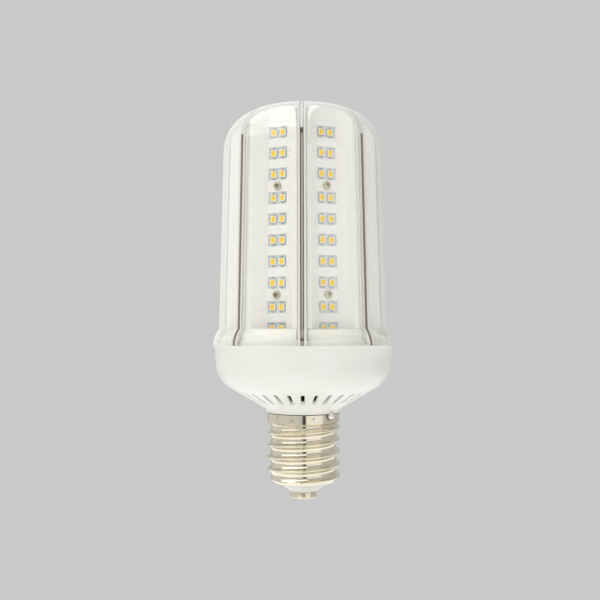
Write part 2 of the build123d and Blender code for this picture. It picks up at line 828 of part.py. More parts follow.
# Driver board on the posts' shoulders
cone_inside = cone_radius(housing_wall, driver_board_height)
wall_inside = housing_wall_radius(housing_wall, driver_board_height)
driver_board_radius = min(cone_inside, wall_inside) - driver_board_margin
with BuildPart() as driver_board:
    with BuildSketch(Plane.XY.offset(driver_board_height)):
        Circle(driver_board_radius)
        with PolarLocations(boss_circle_radius, boss_count, start_angle=screw_angle):
            Circle(post_neck_radius + screw_clearance, mode=Mode.SUBTRACT)
    extrude(amount=driver_board_thickness)
save(driver_board.part, "driver_board")

# Transformer: a ferrite frame with a winding round its middle leg
window_height_inside = ferrite_size[2] - 2 * ferrite_leg
window_place = ferrite_size[0] / 2 - ferrite_leg - ferrite_window / 2
with BuildPart() as transformer_core:
    with BuildSketch(Plane.XY.offset(driver_board_top)):
        with Locations(ferrite_place):
            Rectangle(ferrite_size[0], ferrite_size[1] - 2 * ferrite_leg)
    extrude(amount=ferrite_size[2])
    with BuildSketch(Plane.XZ.offset(-ferrite_place[1])):
        for side in (-window_place, window_place):
            with Locations((ferrite_place[0] + side, driver_board_top + ferrite_size[2] / 2)):
                Rectangle(ferrite_window, window_height_inside)
    extrude(amount=ferrite_size[1], both=True, mode=Mode.SUBTRACT)
save(transformer_core.part, "transformer_core")

middle_leg = ferrite_size[0] - 2 * ferrite_leg - 2 * ferrite_window
winding_outer = middle_leg + 2 * ferrite_window - 2 * bobbin_clearance
with BuildPart() as transformer_winding:
    with BuildSketch(Plane.XY.offset(driver_board_top + ferrite_leg + bobbin_clearance)):
        with Locations(ferrite_place):
            RectangleRounded(winding_outer, ferrite_size[1], winding_rounding)
            Rectangle(
                middle_leg + 2 * bobbin_clearance,
                ferrite_size[1] - 2 * ferrite_leg + 2 * bobbin_clearance,
                mode=Mode.SUBTRACT,
            )
    extrude(amount=window_height_inside - 2 * bobbin_clearance)
save(transformer_winding.part, "transformer_winding")

# Smoothing capacitors, line choke, bridge rectifier and fuse
with BuildPart() as smoothing_capacitors:
    with BuildSketch(Plane.XY.offset(driver_board_top)):
        with Locations(capacitor_places):
            Circle(capacitor_radius)
    extrude(amount=capacitor_height)
    fillet(smoothing_capacitors.edges().group_by(Axis.Z)[-1], capacitor_rounding)
save(smoothing_capacitors.part, "smoothing_capacitors")

with BuildPart() as line_choke:
    with BuildSketch(Plane.XY.offset(driver_board_top)):
        with Locations(choke_place):
            Circle(choke_radius)
    extrude(amount=choke_height)
    with BuildSketch(Plane.XY.offset(driver_board_top + choke_flange)):
        with Locations(choke_place):
            Circle(choke_radius)
            Circle(choke_waist, mode=Mode.SUBTRACT)
    extrude(amount=choke_height - 2 * choke_flange, mode=Mode.SUBTRACT)
save(line_choke.part, "line_choke")

with BuildPart() as bridge_rectifier:
    with BuildSketch(Plane.XY.offset(driver_board_top)):
        with Locations(bridge_place):
            Rectangle(bridge_size[1], bridge_size[0])
    extrude(amount=bridge_size[2])
    fillet(bridge_rectifier.edges().filter_by(Axis.Z), bridge_rounding)
save(bridge_rectifier.part, "bridge_rectifier")

fuse_end = Plane(
    origin=(fuse_place[0], fuse_place[1] - fuse_length / 2, driver_board_top + fuse_radius),
    x_dir=(1, 0, 0),
    z_dir=(0, 1, 0),
)
with BuildPart() as line_fuse:
    with BuildSketch(fuse_end):
        Circle(fuse_radius)
    extrude(amount=fuse_length)
    with BuildSketch(fuse_end.offset(fuse_cap_length)):
        Circle(fuse_radius)
        Circle(fuse_radius - fuse_glass_inset, mode=Mode.SUBTRACT)
    extrude(amount=fuse_length - 2 * fuse_cap_length, mode=Mode.SUBTRACT)
save(line_fuse.part, "line_fuse")

# Leads from both contacts to the driver board, and from it up inside the core
lead_x, lead_y = contact_lead_place
slant_top = contact_lead_rise + contact_lead_slant
contact_route = [(0, 0, stem_top), (0, 0, contact_lead_rise), (lead_x, lead_y, slant_top)]
save(lead(contact_route + [(lead_x, lead_y, driver_board_height)]), "contact_lead")

shell_lead_end = side_direction * skirt_radius + Vector(0, 0, side_solder_height)
shell_lead_turn = side_direction * shell_lead_radius + Vector(0, 0, side_solder_height)
shell_lead_top = shell_lead_turn + Vector(0, 0, driver_board_height - side_solder_height)
save(lead([shell_lead_end, shell_lead_turn, shell_lead_top]), "shell_lead")

with BuildPart() as led_leads:
    with BuildSketch(Plane.XY.offset(driver_board_top)):
        with Locations(led_lead_places):
            Circle(lead_radius)
    extrude(amount=core_top - core_wall - driver_board_top)
save(led_leads.part, "led_leads")
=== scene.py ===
"""Finish of the street light bulb: clear covers over white reflectors and LED boards, a vented white housing
and a nickel screw cap, lit softly in front of a plain grey.

Shapes are written in millimetres and turned into metres where a mesh is made. Seams between the covers lie at
every 45 degrees from +X, so one of them faces -Y, the front.
"""

from math import acos, asin, atan2, cos, hypot, pi, radians, sin, sqrt, tan, tau

import bmesh
import bpy
from mathutils import Matrix, Vector, noise

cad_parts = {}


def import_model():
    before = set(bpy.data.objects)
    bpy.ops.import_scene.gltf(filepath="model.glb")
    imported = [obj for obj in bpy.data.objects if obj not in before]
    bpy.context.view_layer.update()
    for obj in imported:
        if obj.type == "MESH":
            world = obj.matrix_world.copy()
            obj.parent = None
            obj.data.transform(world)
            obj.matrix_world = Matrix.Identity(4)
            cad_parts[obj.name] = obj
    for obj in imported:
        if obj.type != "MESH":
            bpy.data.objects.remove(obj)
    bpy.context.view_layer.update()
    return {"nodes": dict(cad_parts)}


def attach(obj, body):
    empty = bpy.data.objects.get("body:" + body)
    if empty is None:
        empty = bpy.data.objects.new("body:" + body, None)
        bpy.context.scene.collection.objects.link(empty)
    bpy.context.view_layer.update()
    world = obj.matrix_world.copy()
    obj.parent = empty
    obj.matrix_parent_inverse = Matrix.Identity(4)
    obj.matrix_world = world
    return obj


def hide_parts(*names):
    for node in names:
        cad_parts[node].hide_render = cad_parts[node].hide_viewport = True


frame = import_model()
scene = bpy.context.scene
MM = 0.001
AXIS = 0.0001  # radius where an outline meets the axis

# Modules round the axis
MODULES = 8
HALF_MODULE = pi / MODULES
DRAFT = radians(1.32)
LEAN = tan(DRAFT)

# Covers
COVER_RADIUS = 45.16
COVER_WALL = 1.6
SIDE_WALL = 1.5
SIDE_DEPTH = 2.4
GAP = 1.8
FOOT_RADIUS = 48.34
FOOT_BOTTOM = 81.2
FOOT_TOP = 82.4
FOOT_EDGE = 0.2
FLARE_TOP = 89.5
FLARE_BULGE = 0.55
SHOULDER = 185.2
CORNER = 21.2
CROWN_ANGLE = radians(77.7)
EDGE_ROUNDING = 0.35
EDGE_TURNS = (radians(22.5), radians(45), radians(67.5), pi / 2)
FROSTED_STRIP = 0.8
PLATE_RADIUS = 45.3
PLATE_TOP = 83.7
BUTTON_HOLE = 6.4
FLANGE_HOLE = 11.4
LEAST_HALF = 0.002  # half angle of the inner side where the side walls meet at the crown
DOME_STEPS = 22
FLARE_STEPS = 10
SIDE_LEVELS = 12
ACROSS = 18  # faces across the outer side, and across the inner side
CLEAR, FROSTED, SEAM, WALL = range(4)  # order of a cover's finishes

# Face of the reflectors' floors, and what sits on the boards behind them
FACE_APOTHEM = 33.6
FACE_HEIGHT = 89.6
ROWS = 10
ROW_PITCH = 10.73
SCREW_GAP = 1.45
SCREW_ROWS = (1, 6)
BOARD_FRONT = -1.1
LED_SPACING = 4.82
LED_SIZE = (2.8, 3.4, 0.98)
PHOSPHOR_SIZE = (2.25, 2.85)
LAND_DISTANCE = 2.15  # of the lands from the LED's middle
SPOT_DISTANCE = 2.62
OUTLINE_HEIGHT = 0.02

# Screws: radius and height of the head, radius and length of the shank
BOARD_SCREW = (2.05, 1.38, 1.2, 7.0)
HOUSING_SCREW = (2.8, 2.08, 1.5, 16.2)
HOUSING_SCREWS = 4
HOUSING_SCREW_PLACE = (22, 0, 86.4)

# Screw cap
THREAD_CREST = 19.5
THREAD_ROOT = 17.5
THREAD_PITCH = 6.35
CREST_SHARE = 0.2  # of the crest in the thread's two roundings
CREST_PHASE = 12.05  # height of a crest on the +X side
THREAD_START = (8.9, 11.6)  # where the thread grows out of the lip
SHELL_WALL = 0.45
SHELL_BOTTOM = 8.4
SHELL_TOP = 45.6
SHELL_ACROSS = 240
SHELL_LEVELS = 170
JOINT = 0.5
SKIRT_BOTTOM = 40.4
SKIRT_RADIUS = 19.4
LIP_RADIUS = 14.2
LIP_ROUNDING = 2.4
PUNCHED = ((-133.0, 43.7), (-106.5, 42.6), (-74.0, 43.3))
SOLDER_ANGLE = radians(-43)
SOLDER_HEIGHT = 44.5

# Housing
HOUSING_WALL = 2.0
NECK_RADIUS = 20.1
NECK_TOP = 47.2
CONE_ANGLE = radians(30.35)
BELLY_ROUNDING = 16.0
WALL_DRAFT = radians(5.4)
WALL_TOP_RADIUS = 47.6
RIM_BOTTOM = 79.8
RIM_TOP = 81.2
LEDGE_WIDTH = 2.5
LEDGE_DEPTH = 2.0
LEDGE_FOOT = 75.0
SPIGOT_DEPTH = 5.0
VENTS = 32
VENT_INNER = 26.2
VENT_LENGTH = 10.0
VENT_WIDTH = 1.9
VENT_ENDS = 7  # points round each end of a vent
VENT_SIDES = 3  # points between them
VENT_LOW = VENT_INNER - 1.4  # radii between which the cone is divided by its vents
VENT_HIGH = VENT_INNER + VENT_LENGTH + 1.6

# Stage and camera, in metres
BACKDROP = 0.584
FLOOR = -0.25
FLOOR_SIZE = 6
FLOOR_FADE = (0.3, 0.62)  # distances from the axis where the floor takes on the backdrop's tone
WORLD_LIGHT = 0.66
CAMERA_TURN = radians(0.85)
CAMERA_PITCH = radians(92.71)
CAMERA_ROLL = radians(-0.17)
CAMERA_BACK = 0.395
CAMERA_ASIDE = 0.0017
CAMERA_HEIGHT = 0.0866
LENS = 43.83


# Shapes


def arc(centre, radius, start, end, steps):
    """Points (r, z) on an arc, both ends included, angles in radians from the r direction."""
    return [
        (centre[0] + radius * cos(start + (end - start) * k / steps),
         centre[1] + radius * sin(start + (end - start) * k / steps))
        for k in range(steps + 1)
    ]


def through(start, middle, end, steps):
    """Points (r, z) on the arc through three points."""
    (ax, ay), (bx, by), (cx, cy) = start, middle, end
    a, b, c = (x * x + y * y for x, y in (start, middle, end))
    d = 2 * (ax * (by - cy) + bx * (cy - ay) + cx * (ay - by))
    ux = (a * (by - cy) + b * (cy - ay) + c * (ay - by)) / d
    uy = (a * (cx - bx) + b * (ax - cx) + c * (bx - ax)) / d
    first, last = atan2(ay - uy, ax - ux), atan2(cy - uy, cx - ux)
    return arc((ux, uy), hypot(ax - ux, ay - uy), first, last, steps)


def rounded(corners, steps=5):
    """An outline through corners (r, z, rounding), each rounded corner replaced by a tangent arc."""
    outline = []
    count = len(corners)
    for k, (r, z, rounding) in enumerate(corners):
        here = Vector((r, z))
        if rounding <= 0:
            outline.append((r, z))
            continue
        before = (Vector(corners[k - 1][:2]) - here).normalized()
        after = (Vector(corners[(k + 1) % count][:2]) - here).normalized()
        half = acos(max(-1, min(1, before.dot(after)))) / 2
        reach = rounding / tan(half)
        centre = here + (before + after).normalized() * rounding / sin(half)
        first = here + before * reach - centre
        last = here + after * reach - centre
        sweep = first.angle_signed(last)
        start = atan2(first.y, first.x)
        outline += arc(centre, rounding, start, start - sweep, steps)
    return outline


def grid_faces(rows, columns, close_rows=False, close_columns=False):
    """Quads between the points of a grid that is stored row by row."""
    faces = []
    for i in range(rows if close_rows else rows - 1):
        for j in range(columns if close_columns else columns - 1):
            below, above, right = i * columns, (i + 1) % rows * columns, (j + 1) % columns
            faces.append((below + j, below + right, above + right, above + j))
    return faces


class Shape:
    """Points in millimetres and faces, gathered before they become one mesh."""

    def __init__(self):
        self.points = []
        self.faces = []
        self.finishes = []  # which of its finishes each face takes

    def add(self, points, faces, place=None, finishes=None):
        start = len(self.points)
        self.points += [place @ Vector(p) if place else Vector(p) for p in points]
        self.faces += [[start + k for k in face] for face in faces]
        self.finishes += finishes or [0] * len(faces)

    def add_shape(self, other, place=None):
        self.add(other.points, other.faces, place)

    def turned(self, angle):
        copy = Shape()
        copy.add(self.points, self.faces, Matrix.Rotation(angle, 4, "Z"), self.finishes)
        return copy

    def mesh(self, name, sharp=35):
        shape = bmesh.new()
        corners = [shape.verts.new(point * MM) for point in self.points]
        for face, finish in zip(self.faces, self.finishes):
            shape.faces.new([corners[k] for k in face]).material_index = finish
        bmesh.ops.remove_doubles(shape, verts=shape.verts, dist=1e-7)
        bmesh.ops.recalc_face_normals(shape, faces=shape.faces)
        mesh = bpy.data.meshes.new(name)
        shape.to_mesh(mesh)
        shape.free()
        mesh.shade_smooth()
        mesh.set_sharp_from_angle(angle=radians(sharp))
        return mesh


def ring(r, z, count, shift=0):
    """Points round the axis, the first of them turned back by a number of places."""
    return [(r * cos(tau * (k - shift) / count), r * sin(tau * (k - shift) / count), z) for k in range(count)]


def lathe(outline, segments):
    """A closed outline of (r, z) points turned round the axis."""
    shape = Shape()
    points = [point for r, z in outline for point in ring(r, z, segments)]
    shape.add(points, grid_faces(len(outline), segments, close_rows=True, close_columns=True))
    return shape


def rounded_rectangle(width, height, rounding, level, steps=3):
    """A loop of points round a rectangle with rounded corners, at a level."""
    loop = []
    for corner, (sx, sy) in enumerate(((1, 1), (-1, 1), (-1, -1), (1, -1))):
        cx, cy = sx * (width / 2 - rounding), sy * (height / 2 - rounding)
        for k in range(steps + 1):
            a = (corner + k / steps) * pi / 2
            loop.append((cx + rounding * cos(a), cy + rounding * sin(a), level))
    return loop


def stacked(loops, closed=True):
    """A skin over loops that each have the same number of points, closed at both ends or open."""
    size = len(loops[0])
    points = [p for loop in loops for p in loop]
    faces = grid_faces(len(loops), size, close_columns=True)
    if closed:
        faces.append(list(range(size))[::-1])
        faces.append([(len(loops) - 1) * size + k for k in range(size)])
    return points, faces


def smooth(value, low, high):
    """A soft step from 0 at the low value to 1 at the high one."""
    share = max(0.0, min(1.0, (value - low) / (high - low)))
    return share * share * (3 - 2 * share)


# Places on the modules


def module_angle(module):
    """Direction of a module's middle, numbered from 1."""
    return (module - 0.5) * 2 * HALF_MODULE


def face_place(module, sideways, up, out):
    """Places something on a module's leaning face: its x runs sideways, y up the face and z outwards."""
    outwards = Vector((cos(DRAFT), 0, sin(DRAFT)))
    upwards = Vector((-sin(DRAFT), 0, cos(DRAFT)))
    side = upwards.cross(outwards)
    axes = Matrix((side, upwards, outwards)).transposed().to_4x4()
    origin = Vector((FACE_APOTHEM, 0, FACE_HEIGHT)) + side * sideways + upwards * up + outwards * out
    return Matrix.Rotation(module_angle(module), 4, "Z") @ Matrix.Translation(origin) @ axes


def row_positions():
    """Distances of the LED rows up the face, from the lowest."""
    steps = [ROW_PITCH + (SCREW_GAP if row in SCREW_ROWS else 0) for row in range(ROWS - 1)]
    return [sum(steps[:row]) for row in range(ROWS)]


def screw_positions():
    """Distances of the board screws up the face."""
    rows = row_positions()
    return [(rows[row] + rows[row + 1]) / 2 for row in SCREW_ROWS]


# Clear covers


def dome_points(inset):
    """Points (r, z) of the dome from its shoulder to the crown's middle, set in from the outside."""
    centre = COVER_RADIUS - (SHOULDER - FLARE_TOP) * LEAN - CORNER / cos(DRAFT)
    corner = CORNER - inset
    crown = centre / cos(CROWN_ANGLE) + corner
    crown_centre = SHOULDER - (crown - corner) * sin(CROWN_ANGLE)
    points = arc((centre, SHOULDER), corner, DRAFT, CROWN_ANGLE, DOME_STEPS)
    return points + arc((0, crown_centre), crown, CROWN_ANGLE, pi / 2, DOME_STEPS)[1:]


def cut_at(points, radius, margin=0.05):
    """The points of a falling outline down to a radius, with a last point just there."""
    kept = [p for p in points if p[0] > radius + margin]
    (r0, z0), (r1, z1) = kept[-1], points[len(kept)]
    share = (r0 - radius) / (r0 - r1)
    return kept + [(radius, z0 + (z1 - z0) * share)]


def straight(inset, z):
    """A point (r, z) of the covers' leaning part, set in from the outside."""
    return (COVER_RADIUS - inset / cos(DRAFT) - (z - FLARE_TOP) * LEAN, z)


def cover_levels():
    """A cover's levels from its foot up: points (r, z) outside, inside and at its side walls' inner edge."""
    bulge = ((FOOT_RADIUS + COVER_RADIUS) / 2 + FLARE_BULGE, (FOOT_TOP + FLARE_TOP) / 2)
    flare = through((FOOT_RADIUS, FOOT_TOP), bulge, (COVER_RADIUS, FLARE_TOP), FLARE_STEPS)
    shelf = min(range(len(flare)), key=lambda k: abs(flare[k][1] - PLATE_TOP))
    foot = [(FOOT_RADIUS - FOOT_EDGE, FOOT_BOTTOM), (FOOT_RADIUS, FOOT_BOTTOM + FOOT_EDGE), *flare[:shelf]]
    levels = [((r, z), (PLATE_RADIUS, z), (PLATE_RADIUS, z)) for r, z in foot]
    r, z = flare[shelf]
    levels.append(((r, z), (PLATE_RADIUS, PLATE_TOP), (PLATE_RADIUS, PLATE_TOP)))
    levels.append(((r, z + 0.01), straight(COVER_WALL, PLATE_TOP), straight(SIDE_DEPTH, PLATE_TOP)))
    side = [FLARE_TOP + (SHOULDER - FLARE_TOP) * k / SIDE_LEVELS for k in range(1, SIDE_LEVELS)]
    for r, z in flare[shelf + 1:] + [straight(0, z) for z in side]:
        levels.append(((r, z), straight(COVER_WALL, z), straight(SIDE_DEPTH, z)))
    dome = [cut_at(dome_points(inset), BUTTON_HOLE) for inset in (0, COVER_WALL, SIDE_DEPTH)]
    count = min(len(line) for line in dome)
    for outer, inner, deep in zip(*(line[:count - 1] + [line[-1]] for line in dome)):
        levels.append((outer, inner, inner if outer[0] < FLANGE_HOLE else deep))
    return levels


def around(point, angle):
    """A point (r, z) turned round the axis."""
    r, z = point
    return (r * cos(angle), r * sin(angle), z)


def beside(point, offset, side):
    """A point (r, z) at a distance from the seam plane, on one side of the module."""
    r = point[0]
    return around(point, side * (HALF_MODULE - asin(min(offset / max(r, offset), 1))))


def side_wall(outer, inner, deep, side):
    """The rounded outer edge and the inner edge of a side wall at one level."""
    towards = Vector((inner[0] - outer[0], inner[1] - outer[1])).normalized()
    wall = []
    for turn in EDGE_TURNS:
        back = EDGE_ROUNDING * (1 - cos(turn))
        edge = (outer[0] + towards.x * back, outer[1] + towards.y * back)
        wall.append(beside(edge, GAP / 2 + EDGE_ROUNDING * (1 - sin(turn)), side))
    return wall + [beside(deep, GAP / 2, side), beside(deep, GAP / 2 + SIDE_WALL, side)]


def cover_loop(outer, inner, deep):
    """The points round one level: its outer side, a side wall, its inner side and the other side wall."""
    outer_half = HALF_MODULE - asin((GAP / 2 + EDGE_ROUNDING) / outer[0])
    inner_half = max(HALF_MODULE - asin((GAP / 2 + SIDE_WALL) / inner[0]), LEAST_HALF)
    clear_half = outer_half - min(FROSTED_STRIP / outer[0], outer_half / 2)
    middle = [clear_half * (2 * k / (ACROSS - 2) - 1) for k in range(ACROSS - 1)]
    loop = [around(outer, angle) for angle in (-outer_half, *middle, outer_half)]
    loop += side_wall(outer, inner, deep, 1)
    loop += [around(inner, inner_half * (1 - 2 * k / ACROSS)) for k in range(ACROSS + 1)]
    return loop + side_wall(outer, inner, deep, -1)[::-1]


def cap_faces(loop):
    """Closes a cover's C-shaped section: quads between its outer and inner sides, and its two side walls."""
    wall_points = len(EDGE_TURNS) + 2
    outer = loop[:ACROSS + 1]
    end = loop[ACROSS + 1:ACROSS + 1 + wall_points]
    inner = loop[ACROSS + 1 + wall_points:2 * ACROSS + 2 + wall_points]
    start = loop[2 * ACROSS + 2 + wall_points:]
    faces = [(outer[k], outer[k + 1], inner[-k - 2], inner[-k - 1]) for k in range(ACROSS)]
    return faces + [[outer[-1], *end, inner[0]], [inner[-1], *start, outer[0]]]


def clear_cover():
    """One cover about +X: a thin wall, side walls, a flared foot and a cut-away for the crown's button."""
    levels = cover_levels()
    loops = [cover_loop(*level) for level in levels]
    size = len(loops[0])
    wall = [FROSTED] * len(EDGE_TURNS) + [SEAM, WALL, WALL]
    outside = [FROSTED] + [CLEAR] * (ACROSS - 2) + [FROSTED]
    finishes = (outside + wall + [CLEAR] * ACROSS + wall[::-1]) * (len(levels) - 1)
    faces = grid_faces(len(levels), size, close_columns=True)
    for level in (0, len(levels) - 1):
        caps = cap_faces([level * size + k for k in range(size)])
        faces += caps
        finishes += [CLEAR] * len(caps)
    shape = Shape()
    shape.add([point for loop in loops for point in loop], faces, finishes=finishes)
    return shape


# LEDs and screws


def led_package():
    """The white body of an LED: a bevelled block with a sloping cup for the phosphor."""
    width, length, height = LED_SIZE
    cup_width, cup_length = PHOSPHOR_SIZE
    return stacked([
        rounded_rectangle(width, length, 0.18, 0.0),
        rounded_rectangle(width, length, 0.18, height - 0.08),
        rounded_rectangle(width - 0.12, length - 0.12, 0.16, height),
        rounded_rectangle(cup_width, cup_length, 0.5, height),
        rounded_rectangle(cup_width - 0.1, cup_length - 0.1, 0.46, height - 0.12),
    ])


def led_phosphor():
    """The phosphor's slightly sunken, softly domed surface in the cup."""
    height = LED_SIZE[2]
    levels = ((0.04, 0.48, -0.1), (0.08, 0.47, -0.02), (0.7, 0.3, 0.02), (1.4, 0.2, 0.035))
    return stacked([
        rounded_rectangle(*(side - less for side in PHOSPHOR_SIZE), rounding, height + rise)
        for less, rounding, rise in levels
    ])


def at_both_ends(loops, distance):
    """A small skin over loops, once at each end of an LED."""
    points, faces = [], []
    for end in (-distance, distance):
        end_points, end_faces = stacked(loops)
        faces += [[len(points) + k for k in face] for face in end_faces]
        points += [(x, y + end, z) for x, y, z in end_points]
    return points, faces


def led_lands():
    """The tinned land at each end of an LED."""
    low, high = (rounded_rectangle(2.2, 0.9, 0.1, 0.0, 1), rounded_rectangle(2.14, 0.84, 0.1, 0.06, 1))
    return at_both_ends([low, high], LAND_DISTANCE)


def copper_spots():
    """The bare copper at the outer edge of each land."""
    low, high = (rounded_rectangle(0.62, 0.62, 0.3, 0.0), rounded_rectangle(0.56, 0.56, 0.27, 0.09))
    return at_both_ends([low, high], SPOT_DISTANCE)


def led_painted_shade_line():
    """A dark line round an LED on the board, painted shade of the LED's sides and base."""
    width, length, _ = LED_SIZE
    outer, inner = (width + 1.0, length + 0.75, 0.75), (width + 0.36, length + 0.2, 0.5)
    sections = ((outer, 0.0), (outer, OUTLINE_HEIGHT), (inner, OUTLINE_HEIGHT), (inner, 0.0))
    return stacked([rounded_rectangle(*size, level) for size, level in sections], closed=False)


def on_each_led(module, form):
    """The same small form at every LED of a module."""
    shape = Shape()
    for up in row_positions():
        for side in (-LED_SPACING / 2, LED_SPACING / 2):
            shape.add(*form, face_place(module, side, up, BOARD_FRONT))
    return shape


def temporary(name, shape):
    """An object that only serves to cut a shape."""
    made = bpy.data.objects.new(name, shape.mesh(name))
    scene.collection.objects.link(made)
    return made


def screw_head(radius, height):
    """A pan head with a cross recess, standing on z = 0."""
    outline = [(AXIS, 0.0, 0), (radius, 0.0, 0), (radius, height, height * 0.62), (AXIS, height + 0.12, 0)]
    head = temporary("head", lathe(rounded(outline, 8), 48))
    cross = Shape()
    length, width, depth = radius * 1.24, radius * 0.38, height * 0.75
    for turn in (0, pi / 2):
        slot = stacked([
            rounded_rectangle(length * 0.35, width * 0.5, 0.02, height - depth, steps=1),
            rounded_rectangle(length, width, 0.06, height + 0.3, steps=1),
        ])
        cross.add(*slot, Matrix.Rotation(turn, 4, "Z"))
    cutter = temporary("cross", cross)
    cut = head.modifiers.new("cross", "BOOLEAN")
    cut.object = cutter
    cut.operation = "DIFFERENCE"
    cut.solver = "EXACT"
    cut.use_self = True
    bpy.context.view_layer.update()
    finished = bpy.data.meshes.new_from_object(head.evaluated_get(bpy.context.evaluated_depsgraph_get()))
    shape = Shape()
    shape.add([v.co / MM for v in finished.vertices], [list(p.vertices) for p in finished.polygons])
    for used in (head, cutter):
        bpy.data.objects.remove(used)
    return shape


def screw(radius, height, shank, length):
    """A whole screw, its head on z = 0."""
    shape = screw_head(radius, height)
    outline = [
        (AXIS, -length + shank), (shank * 0.4, -length), (shank, -length + shank * 1.2), (shank, -0.001),
        (AXIS, -0.001),
    ]
    shape.add_shape(lathe(outline, 24))
    return shape


def board_screws():
    """Two screws on each module."""
    shape, one = Shape(), screw(*BOARD_SCREW)
    for module in modules:
        for up in screw_positions():
            shape.add_shape(one, face_place(module, 0, up, 0))
    return shape


def housing_screws():
    """The screws that hold core, plate and housing together."""
    shape, one = Shape(), screw(*HOUSING_SCREW)
    for turn in range(HOUSING_SCREWS):
        angle = tau * (turn + 0.5) / HOUSING_SCREWS
        shape.add_shape(one, Matrix.Rotation(angle, 4, "Z") @ Matrix.Translation(HOUSING_SCREW_PLACE))
    return shape


# Housing


def housing_wall_radius(inset, z):
    """Radius of the wall at a height, set in from the outside."""
    return WALL_TOP_RADIUS - inset / cos(WALL_DRAFT) - (RIM_BOTTOM - z) * tan(WALL_DRAFT)


def cone_height(inset, r):
    """Height of the cone at a radius, set in from the outside."""
    return NECK_TOP + inset / cos(CONE_ANGLE) + (r - NECK_RADIUS) * tan(CONE_ANGLE)


def bowl_outline(inset, start_radius, top):
    """Points (r, z) up the cone, round the belly and up the wall."""
    slope, wall = tan(CONE_ANGLE), tan(WALL_DRAFT)
    foot = housing_wall_radius(inset, 0)
    corner_z = (cone_height(inset, 0) + foot * slope) / (1 - slope * wall)
    corner = (housing_wall_radius(inset, corner_z), corner_z, BELLY_ROUNDING - inset)
    start = (start_radius, cone_height(inset, start_radius), 0)
    return rounded([start, corner, (housing_wall_radius(inset, top), top, 0), (0, top, 0)], 14)[:-1]


def vent_slot(inset, grow=0.0, rise=0.0):
    """Outline (x, y, z) of the vent about +X on the cone, made larger all round and raised."""
    r = VENT_WIDTH / 2 + grow
    inner, outer = VENT_INNER + VENT_WIDTH / 2, VENT_INNER + VENT_LENGTH - VENT_WIDTH / 2
    turns = [pi * k / (VENT_ENDS - 1) - pi / 2 for k in range(VENT_ENDS)]
    runs = [(outer - inner) * k / (VENT_SIDES + 1) for k in range(1, VENT_SIDES + 1)]
    loop = [(outer + r * cos(a), r * sin(a)) for a in turns] + [(outer - run, r) for run in runs]
    loop += [(inner - r * cos(a), -r * sin(a)) for a in turns] + [(inner + run, -r) for run in runs]
    return [(x, y, cone_height(inset, hypot(x, y)) + rise) for x, y in loop]


def vent_border(inset):
    """Edge (x, y, z) of the vent's sector of the cone, with as many points as the slot has."""
    half = pi / VENTS
    turns = [half * (2 * k / (VENT_ENDS - 1) - 1) for k in range(VENT_ENDS)]
    runs = [(VENT_HIGH - VENT_LOW) * k / (VENT_SIDES + 1) for k in range(1, VENT_SIDES + 1)]
    border = [(VENT_HIGH, a) for a in turns] + [(VENT_HIGH - run, half) for run in runs]
    border += [(VENT_LOW, -a) for a in turns] + [(VENT_LOW + run, -half) for run in runs]
    return [(r * cos(a), r * sin(a), cone_height(inset, r)) for r, a in border]


def housing():
    """The bowl: cone with vents, belly, wall and rim outside; the same inside, down to the spigot."""
    per_vent = VENT_ENDS - 1
    across = VENTS * per_vent
    shape = Shape()

    def skin(outline):
        points = [point for r, z in outline for point in ring(r, z, across, per_vent // 2)]
        shape.add(points, grid_faces(len(outline), across, close_columns=True))

    seat_radius, ledge_radius = PLATE_RADIUS - 0.2, PLATE_RADIUS - LEDGE_WIDTH
    rim = [
        (WALL_TOP_RADIUS + 0.05, RIM_BOTTOM + 0.05), (FOOT_RADIUS - 0.12, RIM_BOTTOM + 0.55),
        (FOOT_RADIUS, RIM_BOTTOM + 0.75), (FOOT_RADIUS, RIM_TOP - 0.25), (FOOT_RADIUS - 0.07, RIM_TOP - 0.07),
        (FOOT_RADIUS - 0.25, RIM_TOP), (seat_radius, RIM_TOP), (seat_radius, RIM_TOP - LEDGE_DEPTH),
        (ledge_radius, RIM_TOP - LEDGE_DEPTH), (ledge_radius, LEDGE_FOOT + 2.2),
    ]
    inside = bowl_outline(HOUSING_WALL, VENT_HIGH, LEDGE_FOOT)
    skin(bowl_outline(0, VENT_HIGH, RIM_BOTTOM) + rim + inside[::-1])
    spigot = SKIRT_RADIUS - SHELL_WALL - 0.1
    bore = spigot - HOUSING_WALL
    skin([
        (VENT_LOW, cone_height(HOUSING_WALL, VENT_LOW)),
        (NECK_RADIUS - HOUSING_WALL, cone_height(HOUSING_WALL, NECK_RADIUS - 1)),
        (bore, SHELL_TOP + 1), (bore, SHELL_TOP - SPIGOT_DEPTH), (spigot, SHELL_TOP - SPIGOT_DEPTH),
        (spigot, SHELL_TOP), (NECK_RADIUS - 0.15, SHELL_TOP), (NECK_RADIUS, SHELL_TOP + 0.15),
        (NECK_RADIUS, NECK_TOP - 0.3), (NECK_RADIUS + 0.1, NECK_TOP - 0.05),
        (NECK_RADIUS + 0.35, cone_height(0, NECK_RADIUS + 0.35)), (VENT_LOW, cone_height(0, VENT_LOW)),
    ])
    loops = [
        vent_border(0), vent_slot(0, 0.32), vent_slot(0, 0.1, 0.06), vent_slot(0, 0, 0.28),
        vent_slot(HOUSING_WALL), vent_border(HOUSING_WALL),
    ]
    vent = stacked(loops, closed=False)
    for number in range(VENTS):
        shape.add(*vent, Matrix.Rotation(tau * number / VENTS, 4, "Z"))
    return shape


# Screw cap


